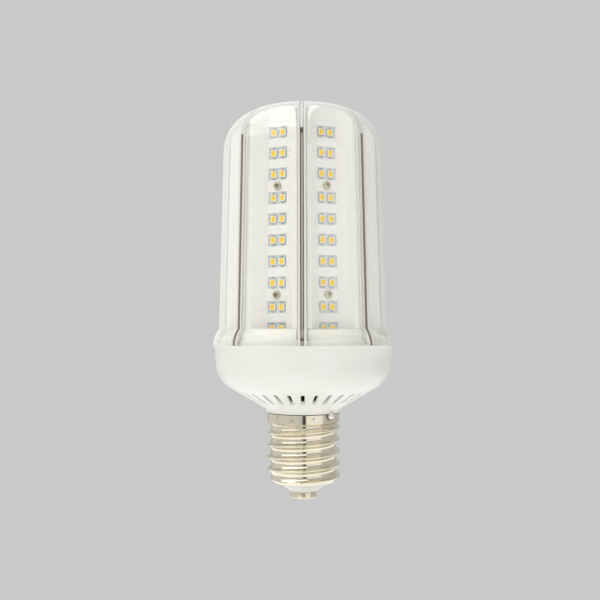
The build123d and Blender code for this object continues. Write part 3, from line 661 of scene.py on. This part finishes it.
def thread_height(phase):
    """Height of the rolled thread above its root for a phase from 0 to 1, with the crest at 0."""
    depth = THREAD_CREST - THREAD_ROOT
    angle = 2 * atan2(2 * depth, THREAD_PITCH)
    both = THREAD_PITCH / 2 / sin(angle)
    crest = both * CREST_SHARE
    valley = both - crest
    along = abs((phase + 0.5) % 1 - 0.5) * THREAD_PITCH
    if along < crest * sin(angle):
        return depth - crest + sqrt(crest * crest - along * along)
    back = THREAD_PITCH / 2 - along
    return valley - sqrt(max(valley * valley - back * back, 0))


def shell_radius(r, z, angle):
    """Radius of the shell's outside, where the thread or the skirt stands out from a plain radius."""
    raised = thread_height((z - CREST_PHASE) / THREAD_PITCH - angle / tau) * smooth(z, *THREAD_START)
    raised *= 1 - smooth(z, SKIRT_BOTTOM - 0.4, SKIRT_BOTTOM + 0.6)
    skirt = (SKIRT_RADIUS - THREAD_ROOT) * smooth(z, SKIRT_BOTTOM - 1.3, SKIRT_BOTTOM + 0.1)
    return r + max(raised, skirt)


def screw_shell():
    """The rolled shell: lip, helical thread and skirt outside, a plain wall inside."""
    lip = arc((THREAD_ROOT - LIP_ROUNDING, SHELL_BOTTOM + LIP_ROUNDING), LIP_ROUNDING, -pi / 2, 0, 8)
    edge = [
        (LIP_RADIUS, SHELL_BOTTOM + SHELL_WALL), (LIP_RADIUS, SHELL_BOTTOM + 0.12),
        (LIP_RADIUS + 0.12, SHELL_BOTTOM),
    ]
    start, top = lip[-1][1], SHELL_TOP - JOINT - 0.08
    side = [(THREAD_ROOT, start + (top - start) * k / SHELL_LEVELS) for k in range(1, SHELL_LEVELS + 1)]
    points = []
    for r, z in edge + lip + side:
        for k in range(SHELL_ACROSS):
            angle = tau * k / SHELL_ACROSS
            points.append(around((shell_radius(r, z, angle), z), angle))
    inside, skirt_inside = THREAD_ROOT - SHELL_WALL, SKIRT_RADIUS - SHELL_WALL
    back = [
        (SKIRT_RADIUS - 0.08, SHELL_TOP - JOINT), (skirt_inside, SHELL_TOP - JOINT),
        (skirt_inside, SKIRT_BOTTOM), (inside, SKIRT_BOTTOM - 1.3), (inside, SHELL_BOTTOM + LIP_ROUNDING),
    ]
    back += [(r - 0.1, z + 0.35) for r, z in lip[::-1][2:]]
    points += [point for r, z in back for point in ring(r, z, SHELL_ACROSS)]
    rows = len(points) // SHELL_ACROSS
    shape = Shape()
    shape.add(points, grid_faces(rows, SHELL_ACROSS, close_rows=True, close_columns=True))
    return shape


def joint_ring():
    """The bead in the joint between the shell's edge and the housing's neck, its dark colour partly painted
    shade of the groove.
    """
    outer, inner = SKIRT_RADIUS - 0.3, SKIRT_RADIUS - SHELL_WALL - 0.05
    bottom, top = SHELL_TOP - JOINT + 0.02, SHELL_TOP - 0.02
    return lathe([(outer, bottom), (outer, top), (inner, top), (inner, bottom)], 128)


def punch_marks():
    """The three small dents of the punch in the skirt, each a pit darkened by painted shade, with its raised
    edge.
    """
    outline = [
        (AXIS, 0.01, 0), (0.2, 0.01, 0), (0.3, 0.05, 0), (0.4, 0.0, 0), (0.4, -0.1, 0), (AXIS, -0.1, 0),
    ]
    shape, pit = Shape(), lathe(rounded(outline), 16)
    for angle, height in PUNCHED:
        place = Matrix.Rotation(radians(angle), 4, "Z") @ Matrix.Translation((SKIRT_RADIUS, 0, height))
        shape.add_shape(pit, place @ Matrix.Rotation(pi / 2, 4, "Y"))
    return shape


def solder_blob(rise=1.85, half_width=2.3, half_height=1.95, drop=0.0, turn=0.0):
    """A solder dome on the side contact, a little uneven, lapped onto the shell's edge."""
    ball = bmesh.new()
    bmesh.ops.create_icosphere(ball, subdivisions=5, radius=1.0)
    points = []
    outward = Vector((cos(SOLDER_ANGLE + turn), sin(SOLDER_ANGLE + turn), 0))
    side = Vector((-outward.y, outward.x, 0))
    for v in ball.verts:
        wobble = 1 + 0.1 * noise.noise(v.co * 1.7) + 0.04 * noise.noise(v.co * 5)
        out = rise * v.co.x * wobble
        across = half_width * v.co.y * wobble
        up = half_height * v.co.z * wobble - drop
        spot = outward * (SKIRT_RADIUS + max(out, 0)) + side * across + Vector((0, 0, SOLDER_HEIGHT + up))
        least = (NECK_RADIUS if spot.z > SHELL_TOP else SKIRT_RADIUS) + 0.01
        plan = hypot(spot.x, spot.y)
        if plan < least or v.co.x < 0:
            spot.x *= least / plan
            spot.y *= least / plan
        points.append(spot)
    shape = Shape()
    shape.add(points, [[v.index for v in f.verts] for f in ball.faces])
    ball.free()
    return shape


def insulator():
    """The porcelain-white plug: a shallow dish outside, a plain plug inside the shell."""
    plug = THREAD_ROOT - SHELL_WALL - 0.1
    inner = SHELL_BOTTOM + SHELL_WALL + 0.1
    return lathe(rounded([
        (2.75, 3.62, 0), (6.9, 3.52, 0.15), (7.35, 3.62, 0.1), (13.25, 8.16, 0.3), (15.3, 8.18, 0.05),
        (15.3, 8.34, 0), (LIP_RADIUS - 0.12, 8.34, 0), (LIP_RADIUS - 0.12, inner, 0),
        (plug, inner, LIP_ROUNDING - SHELL_WALL), (plug, inner + 4.0, 0), (1.0, inner + 4.0, 0),
        (1.0, 6.6, 0), (2.75, 6.6, 0),
    ], 6), 128)


def centre_contact():
    """A pressed button: flat face with a soft edge, a faint ring and its stem."""
    return lathe(rounded([
        (AXIS, 0.0, 0), (5.6, 0.0, 0.3), (6.95, 0.35, 0.55), (6.95, 3.3, 0.12), (6.7, 3.5, 0.1),
        (2.6, 3.5, 0), (2.6, 6.5, 0.15), (AXIS, 6.5, 0),
    ], 6), 128)


# Effects that several finishes share

MIX_A, MIX_B, MIXED = 6, 7, 2  # a Mix node's sockets when it mixes colours


def new_group(name, inputs, outputs):
    """An empty node group with its sockets; gives its tree and its two end nodes."""
    tree = bpy.data.node_groups.new(name, "ShaderNodeTree")
    for label, kind, value in inputs:
        socket = tree.interface.new_socket(label, in_out="INPUT", socket_type="NodeSocket" + kind)
        socket.default_value = value
    for label, kind in outputs:
        tree.interface.new_socket(label, in_out="OUTPUT", socket_type="NodeSocket" + kind)
    return tree, tree.nodes.new("NodeGroupInput"), tree.nodes.new("NodeGroupOutput")


def wire(tree, *links):
    """Joins sockets, each link given as (node, output, node, input)."""
    for source, out, target, into in links:
        tree.links.new(source.outputs[out], target.inputs[into])


def set_sockets(node, **values):
    """Sets inputs of a node by their names, with _ for a space."""
    for label, value in values.items():
        node.inputs[label.replace("_", " ")].default_value = value


def noise_node(tree, scale=1.0, detail=2.0, roughness=0.5):
    node = tree.nodes.new("ShaderNodeTexNoise")
    set_sockets(node, Scale=scale, Detail=detail, Roughness=roughness)
    return node


def make_unevenness():
    """The slow waviness and fine grain of a moulded or cast skin, as a normal."""
    tree, given, made = new_group(
        "skin_unevenness",
        [("Wave Scale", "Float", 60.0), ("Grain Scale", "Float", 900.0), ("Grain Share", "Float", 0.3),
         ("Strength", "Float", 0.1), ("Depth", "Float", 0.0002)],
        [("Normal", "Vector")],
    )
    place = tree.nodes.new("ShaderNodeTexCoord")
    wave, grain = noise_node(tree, detail=3), noise_node(tree, detail=2)
    blend = tree.nodes.new("ShaderNodeMix")
    bump = tree.nodes.new("ShaderNodeBump")
    wire(
        tree,
        (place, "Object", wave, "Vector"), (place, "Object", grain, "Vector"),
        (given, "Wave Scale", wave, "Scale"), (given, "Grain Scale", grain, "Scale"),
        (given, "Grain Share", blend, "Factor"), (wave, "Fac", blend, "A"), (grain, "Fac", blend, "B"),
        (blend, "Result", bump, "Height"), (given, "Strength", bump, "Strength"),
        (given, "Depth", bump, "Distance"), (bump, "Normal", made, "Normal"),
    )
    return tree


def make_tone():
    """A colour that drifts a little between two tones over the surface."""
    tree, given, made = new_group(
        "tone_drift",
        [("Light", "Color", (1, 1, 1, 1)), ("Deep", "Color", (0.8, 0.8, 0.8, 1)), ("Scale", "Float", 40.0),
         ("Bias", "Float", 0.35)],
        [("Color", "Color")],
    )
    place = tree.nodes.new("ShaderNodeTexCoord")
    clouds = noise_node(tree, detail=4, roughness=0.6)
    spread = tree.nodes.new("ShaderNodeMapRange")
    set_sockets(spread, From_Max=0.75)
    blend = tree.nodes.new("ShaderNodeMix")
    blend.data_type = "RGBA"
    wire(
        tree,
        (place, "Object", clouds, "Vector"), (given, "Scale", clouds, "Scale"),
        (clouds, "Fac", spread, "Value"), (given, "Bias", spread, "From Min"),
        (spread, "Result", blend, "Factor"), (given, "Light", blend, MIX_A), (given, "Deep", blend, MIX_B),
        (blend, MIXED, made, "Color"),
    )
    return tree


def make_handling():
    """Smudges and fine scuffs from handling, as a roughness."""
    tree, given, made = new_group(
        "handling_marks",
        [("Clean", "Float", 0.2), ("Marked", "Float", 0.35), ("Scale", "Float", 30.0)],
        [("Roughness", "Float")],
    )
    place = tree.nodes.new("ShaderNodeTexCoord")
    smears, specks = noise_node(tree, detail=5, roughness=0.65), noise_node(tree, 420, detail=3)
    blend, spread, level = (tree.nodes.new("ShaderNode" + kind) for kind in ("Mix", "MapRange", "Mix"))
    set_sockets(blend, Factor=0.25)
    set_sockets(spread, From_Min=0.42, From_Max=0.68)
    wire(
        tree,
        (place, "Object", smears, "Vector"), (place, "Object", specks, "Vector"),
        (given, "Scale", smears, "Scale"), (smears, "Fac", blend, "A"), (specks, "Fac", blend, "B"),
        (blend, "Result", spread, "Value"), (spread, "Result", level, "Factor"), (given, "Clean", level, "A"),
        (given, "Marked", level, "B"), (level, "Result", made, "Roughness"),
    )
    return tree


UNEVENNESS, TONE, HANDLING = make_unevenness(), make_tone(), make_handling()

FINE_GRAIN = dict(Wave_Scale=80, Grain_Scale=1800, Grain_Share=0.5, Strength=0.12, Depth=0.0001)
MOULDED_GRAIN = dict(Wave_Scale=45, Grain_Scale=1500, Grain_Share=0.12, Strength=0.14, Depth=0.0002)
LACQUER_GRAIN = dict(Wave_Scale=300, Grain_Scale=2500, Grain_Share=0.4, Strength=0.15, Depth=0.00005)
CLEAR_GRAIN = dict(Wave_Scale=25, Grain_Scale=300, Grain_Share=0.04, Strength=0.012, Depth=0.0002)


# Finishes


def srgb(*levels):
    """Linear colour of an sRGB colour from 0 to 255."""
    linear = (v / 255 / 12.92 if v <= 10 else ((v / 255 + 0.055) / 1.055) ** 2.4 for v in levels)
    return (*linear, 1)


class Finish:
    """A material with a Principled shader, to which the shared effects are added."""

    def __init__(self, name, colour, roughness, **sockets):
        self.material = bpy.data.materials.new(name)
        self.material.use_nodes = True
        self.tree = self.material.node_tree
        self.shader = self.tree.nodes["Principled BSDF"]
        self.output = self.tree.nodes["Material Output"]
        set_sockets(self.shader, Base_Color=colour, Roughness=roughness, **sockets)

    def node(self, kind, **values):
        node = self.tree.nodes.new("ShaderNode" + kind)
        set_sockets(node, **values)
        return node

    def wire(self, *links):
        wire(self.tree, *links)

    def effect(self, tree, out, into, **values):
        """Leads one output of a shared effect into the shader."""
        node = self.tree.nodes.new("ShaderNodeGroup")
        node.node_tree = tree
        set_sockets(node, **values)
        self.wire((node, out, self.shader, into))


def plain_finish(name, light, deep, clean, marked=None, scale=40.0, grain=FINE_GRAIN, **sockets):
    """A finish with a tone that drifts, a grain and, where it is touched, marks from handling."""
    finish = Finish(name, light, clean, **sockets)
    finish.effect(TONE, "Color", "Base Color", Light=light, Deep=deep, Scale=scale)
    finish.effect(UNEVENNESS, "Normal", "Normal", **grain)
    if marked:
        finish.effect(HANDLING, "Roughness", "Roughness", Clean=clean, Marked=marked)
    return finish.material


def clear_plastic():
    """Clear polycarbonate, milky where the eye meets it at a slant; light passes it to what lies behind."""
    finish = Finish("clear_plastic", srgb(253, 253, 251), 0.02, IOR=1.49, Transmission_Weight=1.0)
    finish.effect(UNEVENNESS, "Normal", "Normal", **CLEAR_GRAIN)
    slant = finish.node("LayerWeight", Blend=0.5)
    haze_share = finish.node("MapRange", From_Min=0.27, To_Max=0.95)
    haze_share.interpolation_type = "SMOOTHSTEP"
    milk = finish.node("BsdfDiffuse", Color=srgb(234, 233, 227))
    hazy, ray, lets_by = finish.node("MixShader"), finish.node("LightPath"), finish.node("Math")
    lets_by.operation = "MAXIMUM"
    open_way = finish.node("BsdfTransparent", Color=srgb(253, 253, 250))
    either = finish.node("MixShader")
    finish.wire(
        (slant, "Facing", haze_share, "Value"), (haze_share, "Result", hazy, 0), (finish.shader, 0, hazy, 1),
        (milk, 0, hazy, 2), (ray, "Is Shadow Ray", lets_by, 0), (ray, "Is Diffuse Ray", lets_by, 1),
        (lets_by, 0, either, 0), (hazy, 0, either, 1), (open_way, 0, either, 2),
        (either, 0, finish.output, "Surface"),
    )
    return finish.material


def seam_painted_shade_and_light():
    """A cover's face in a seam, dull: grey painted shade seen from the seam, white painted light seen through
    the plastic.
    """
    painted_seam_shade, painted_piped_light = srgb(176, 171, 152), srgb(250, 250, 246)
    finish = Finish("seam_painted_shade_and_light", painted_seam_shade, 0.5)
    side, blend = finish.node("NewGeometry"), finish.node("Mix")
    blend.data_type = "RGBA"
    blend.inputs[MIX_A].default_value = painted_seam_shade
    blend.inputs[MIX_B].default_value = painted_piped_light
    finish.wire((side, "Backfacing", blend, "Factor"), (blend, MIXED, finish.shader, "Base Color"))
    finish.effect(UNEVENNESS, "Normal", "Normal", **FINE_GRAIN)
    return finish.material


CLEAR_PLASTIC = clear_plastic()
# The frosted edge is darker than the frosted wall: painted shade that offsets the light it catches in front.
FROSTED_EDGE_SHADED = plain_finish("frosted_edge_painted_shade", srgb(218, 217, 211), srgb(213, 212, 206), 0.5, 0.65)
FROSTED_WALL = plain_finish("frosted_wall", srgb(240, 240, 235), srgb(235, 235, 229), 0.45, 0.6)
# Seam faces: painted shade seen from the seam, painted light seen through the plastic.
SEAM_SHADE_AND_LIGHT = seam_painted_shade_and_light()
REFLECTOR_WHITE = plain_finish(
    "reflector_white", srgb(243, 242, 241), srgb(239, 238, 237), 0.26, 0.34, 30, MOULDED_GRAIN)
BOARD_MASK = plain_finish(
    "board_mask", srgb(224, 232, 240), srgb(214, 223, 232), 0.3, scale=90, grain=LACQUER_GRAIN)
LED_WHITE = plain_finish("led_white", srgb(250, 250, 248), srgb(244, 243, 240), 0.35, 0.45)
PHOSPHOR = plain_finish("phosphor", srgb(255, 214, 30), srgb(253, 198, 14), 0.4, 0.5, 900)
# The dark line round each LED is painted shade.
LED_SHADE_LINE = plain_finish("led_painted_shade_line", srgb(152, 158, 150), srgb(136, 142, 136), 0.4, 0.5)
TINNED = plain_finish("tinned_land", srgb(205, 205, 200), srgb(170, 170, 165), 0.25, 0.4, 400, Metallic=1.0)
COPPER = plain_finish("bare_copper", srgb(205, 158, 112), srgb(180, 130, 90), 0.35, 0.5, 400, Metallic=0.4)
CAST = plain_finish("cast_aluminium", srgb(244, 242, 230), srgb(232, 230, 216), 0.45, 0.6, 60)
BASE_WHITE = plain_finish("base_white", srgb(244, 243, 240), srgb(238, 237, 233), 0.35, 0.45)
RETAINER_WHITE = plain_finish("retainer_white", srgb(218, 217, 211), srgb(210, 209, 202), 0.35, 0.45)
HOUSING_WHITE = plain_finish("housing_white", srgb(227, 227, 220), srgb(221, 221, 213), 0.3, 0.4)
NICKEL = plain_finish("nickel", srgb(227, 220, 201), srgb(213, 204, 181), 0.12, 0.2, 60, Metallic=1.0)
INSULATOR_WHITE = plain_finish("insulator_white", srgb(206, 207, 200), srgb(196, 196, 189), 0.3, 0.42)
SOLDER = plain_finish("solder", srgb(236, 235, 230), srgb(200, 196, 184), 0.08, 0.2, 300, Metallic=1.0)
STEEL = plain_finish("screw_steel", srgb(216, 209, 190), srgb(168, 160, 138), 0.14, 0.24, 300, Metallic=1.0)
GREEN_BOARD = plain_finish("driver_green", srgb(40, 92, 60), srgb(28, 70, 46), 0.35, 0.5, 80)
FERRITE = plain_finish("ferrite", srgb(52, 52, 55), srgb(38, 38, 40), 0.55, 0.7, 200)
WINDING_TAPE = plain_finish("winding_tape", srgb(214, 176, 60), srgb(196, 152, 44), 0.35, 0.5, 120)
SLEEVE = plain_finish("capacitor_sleeve", srgb(36, 38, 52), srgb(26, 28, 38), 0.3, 0.45, 120)
DARK_MOULDING = plain_finish("dark_moulding", srgb(34, 34, 35), srgb(24, 24, 25), 0.4, 0.55, 200)
# A brown-gold copy of the solder colour, painted shade and reflection at the dome's lower edge.
SOLDER_SHADE_RIM = plain_finish("solder_painted_shade", srgb(132, 112, 58), srgb(96, 80, 40), 0.3, 0.45, 300)
# The joint bead's dark colour is partly painted shade of the groove.
JOINT_BEAD_AND_SHADE = plain_finish("joint_bead_and_shade", srgb(96, 90, 66), srgb(78, 72, 52), 0.5, 0.65)
# The punch pits' dark colour is painted shade.
PIT_PAINTED_SHADE = plain_finish("pit_painted_shade", srgb(120, 108, 78), srgb(96, 86, 60), 0.35, 0.5, Metallic=0.6)
FUSE_GLASS = plain_finish("fuse_glass", srgb(205, 210, 208), srgb(190, 196, 194), 0.08, 0.16, 100)
LEAD_RED = plain_finish("lead_red", srgb(128, 30, 26), srgb(104, 24, 20), 0.4, 0.5, 150)
LEAD_WHITE = plain_finish("lead_white", srgb(224, 222, 214), srgb(210, 207, 198), 0.4, 0.5, 150)


# Putting the lamp together


def piece(name, shape, finishes, slot, *replaced, sharp=35):
    """Makes a shape a piece of the lamp with its finishes, in place of the nodes named."""
    made = bpy.data.objects.new(name, shape.mesh(name, sharp))
    scene.collection.objects.link(made)
    for finish in finishes:
        made.data.materials.append(finish)
    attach(made, "root")
    if replaced:
        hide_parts(*replaced)


def dress(nodes, finish):
    """Gives a finish to solids whose shape stays as it is."""
    for name in nodes:
        slots = frame["nodes"][name].data.materials
        slots.clear()
        slots.append(finish)


modules = range(1, MODULES + 1)
cover = clear_cover()
cover_finishes = [CLEAR_PLASTIC, FROSTED_EDGE_SHADED, SEAM_SHADE_AND_LIGHT, FROSTED_WALL]
led_forms = [  # name, form, finish, slot and the nodes that it stands for
    ("leds", led_package(), LED_WHITE, "led_white", ["led_packages"]),
    ("phosphor", led_phosphor(), PHOSPHOR, "phosphor", ["led_phosphors"]),
    ("led_lands", led_lands(), TINNED, "board_mask", []),
    ("led_painted_shade_line", led_painted_shade_line(), LED_SHADE_LINE, "board_mask", []),
    ("copper_spots", copper_spots(), COPPER, "board_mask", []),
]
for module in modules:
    turned = cover.turned(module_angle(module))
    piece(f"cover_{module}", turned, cover_finishes, "clear_plastic", f"clear_cover_{module}")
    for name, form, finish, slot, nodes in led_forms:
        replaced = [f"{node}_{module}" for node in nodes]
        piece(f"{name}_{module}", on_each_led(module, form), [finish], slot, *replaced)

piece("reflector_screws", board_screws(), [STEEL], "screw_steel", "board_screws")
piece("core_screws", housing_screws(), [STEEL], "screw_steel", "housing_screws")
piece("vented_housing", housing(), [HOUSING_WHITE], "housing_white", "housing", sharp=50)
piece("threaded_shell", screw_shell(), [NICKEL], "nickel", "screw_shell")
piece("cap_insulator", insulator(), [INSULATOR_WHITE], "insulator_white", "insulator")
piece("contact_button", centre_contact(), [NICKEL], "nickel", "centre_contact")
piece("neck_joint", joint_ring(), [JOINT_BEAD_AND_SHADE], "dark_moulding")
piece("punch_marks", punch_marks(), [PIT_PAINTED_SHADE], "nickel")
# A slightly larger, lower copy of the solder dome, painted shade and reflection at its lower edge.
piece("solder_shade_rim", solder_blob(0.5, 2.5, 2.1, 0.45, radians(-1.5)), [SOLDER_SHADE_RIM], "solder", sharp=80)
piece("solder_dome", solder_blob(), [SOLDER], "solder", "side_solder", sharp=80)

dress([f"reflector_{module}" for module in modules], REFLECTOR_WHITE)
dress([f"led_board_{module}" for module in modules], BOARD_MASK)
dress(["heat_core"], CAST)
dress(["base_plate"], BASE_WHITE)
dress(["top_retainer"], RETAINER_WHITE)
dress(["driver_board"], GREEN_BOARD)
dress(["transformer_core", "line_choke"], FERRITE)
dress(["transformer_winding"], WINDING_TAPE)
dress(["smoothing_capacitors"], SLEEVE)
dress(["bridge_rectifier"], DARK_MOULDING)
dress(["line_fuse"], FUSE_GLASS)
dress(["contact_lead"], LEAD_RED)
dress(["shell_lead", "led_leads"], LEAD_WHITE)


# Stage, lights and camera


def flat(name, corners, material):
    """A plain four-sided stage piece."""
    mesh = bpy.data.meshes.new(name)
    mesh.from_pydata(corners, [], [(0, 1, 2, 3)])
    mesh.materials.append(material)
    made = bpy.data.objects.new(name, mesh)
    scene.collection.objects.link(made)
    return made


def floor():
    """A wide pale floor below the hanging cap, which fades into the backdrop's tone with distance."""
    finish = Finish("floor", (0.6, 0.6, 0.6, 1), 0.9)
    even = finish.node("Emission", Color=(BACKDROP, BACKDROP, BACKDROP, 1))
    place, distance, blend = finish.node("TexCoord"), finish.node("VectorMath"), finish.node("MixShader")
    distance.operation = "LENGTH"
    fade = finish.node("MapRange", From_Min=FLOOR_FADE[0], From_Max=FLOOR_FADE[1])
    fade.interpolation_type = "SMOOTHSTEP"
    ray, seen, share = finish.node("LightPath"), finish.node("Math"), finish.node("Math")
    seen.operation = "SUBTRACT"
    seen.inputs[0].default_value = 1
    share.operation = "MULTIPLY"
    finish.wire(
        (place, "Object", distance, 0), (distance, "Value", fade, "Value"), (ray, "Is Diffuse Ray", seen, 1),
        (fade, "Result", share, 0), (seen, 0, share, 1), (share, 0, blend, 0), (finish.shader, 0, blend, 1),
        (even, 0, blend, 2), (blend, 0, finish.output, "Surface"),
    )
    corners = [(x * FLOOR_SIZE, y * FLOOR_SIZE, FLOOR) for x, y in ((-1, -1), (1, -1), (1, 1), (-1, 1))]
    flat("floor", corners, finish.material)


def upright_card(name, start, end, low, high):
    """A dark card on the line between two points in plan, unseen by the camera and without a shadow."""
    corners = [(*start, low), (*end, low), (*end, high), (*start, high)]
    made = flat(name, corners, Finish(name, (0.02, 0.02, 0.02, 1), 0.9).material)
    made.visible_camera = made.visible_transmission = made.visible_shadow = False
    return made


def world():
    """Even light from all round, and the backdrop where camera, reflections and clear plastic see it."""
    made = bpy.data.worlds.new("studio")
    made.use_nodes = True
    tree = made.node_tree
    light = tree.nodes["Background"]
    set_sockets(light, Color=(1, 1, 1, 1), Strength=WORLD_LIGHT)
    kinds = ("Background", "LightPath", "MixShader")
    seen, ray, blend = (tree.nodes.new("ShaderNode" + kind) for kind in kinds)
    set_sockets(seen, Color=(BACKDROP, BACKDROP, BACKDROP, 1))
    first, second = (tree.nodes.new("ShaderNodeMath") for _ in range(2))
    first.operation = second.operation = "MAXIMUM"
    wire(
        tree,
        (ray, "Is Camera Ray", first, 0), (ray, "Is Glossy Ray", first, 1), (first, 0, second, 0),
        (ray, "Is Transmission Ray", second, 1), (second, 0, blend, 0), (light, 0, blend, 1),
        (seen, 0, blend, 2), (blend, 0, tree.nodes["World Output"], "Surface"),
    )
    scene.world = made


def softbox(name, place, aim, size, brightness):
    """A rectangular softbox at a place, turned towards a point; a brightness of 1 shows as white."""
    data = bpy.data.lights.new(name, "AREA")
    data.shape = "RECTANGLE"
    data.size, data.size_y = size
    data.energy = brightness * 4 * size[0] * size[1]
    made = bpy.data.objects.new(name, data)
    made.location = place
    made.rotation_euler = (Vector(aim) - Vector(place)).to_track_quat("-Z", "Y").to_euler()
    made.visible_camera = False
    scene.collection.objects.link(made)


def camera():
    """The photograph's view: from a little below the lamp's middle, looking up by a few degrees."""
    data = bpy.data.cameras.new("camera")
    data.lens, data.sensor_width = LENS, 36.0
    made = bpy.data.objects.new("camera", data)
    made.location = (
        sin(CAMERA_TURN) * CAMERA_BACK - cos(CAMERA_TURN) * CAMERA_ASIDE,
        -cos(CAMERA_TURN) * CAMERA_BACK - sin(CAMERA_TURN) * CAMERA_ASIDE,
        CAMERA_HEIGHT,
    )
    turns = ((CAMERA_TURN, "Z"), (CAMERA_PITCH, "X"), (CAMERA_ROLL, "Z"))
    turn, pitch, roll = (Matrix.Rotation(angle, 3, axis) for angle, axis in turns)
    made.rotation_euler = (turn @ pitch @ roll).to_euler()
    scene.collection.objects.link(made)
    scene.camera = made


floor()
# The card in front shows as a streak in the nickel; the flag on the right takes light off the far side.
upright_card("dark_card", (-0.03, -0.75), (0.11, -0.75), -0.25, 0.3).visible_diffuse = False
upright_card("dark_flag", (0.66, 0.1), (0.32, 0.59), -0.2, 0.45).visible_glossy = False
world()
camera()
softbox("ceiling", (-0.38, -0.43, 1.0), (-0.38, -0.43, 0), (1.04, 1.66), 0.92)
softbox("left_panel", (-0.95, -0.5, 0.82), (0, 0, 0.2), (1.2, 0.5), 0.8)
softbox("left_wall", (-0.85, 0.1, 0.1), (0, 0.1, 0.1), (1.8, 1.1), 0.15)
softbox("right_wall", (0.85, -0.35, 0.1), (0, 0, 0.1), (1.0, 1.0), 0.03)
softbox("front_left", (-0.5, -1.0, 0.05), (0, 0, 0.08), (0.8, 0.8), 0.1)
softbox("front_right", (0.56, -0.9, 0.12), (0, 0, 0.1), (1.3, 0.8), 0.38)
softbox("table_light", (0, -0.1, FLOOR + 0.01), (0, -0.1, 0.1), (1.4, 1.4), 0.55)

scene.view_settings.view_transform = "Standard"
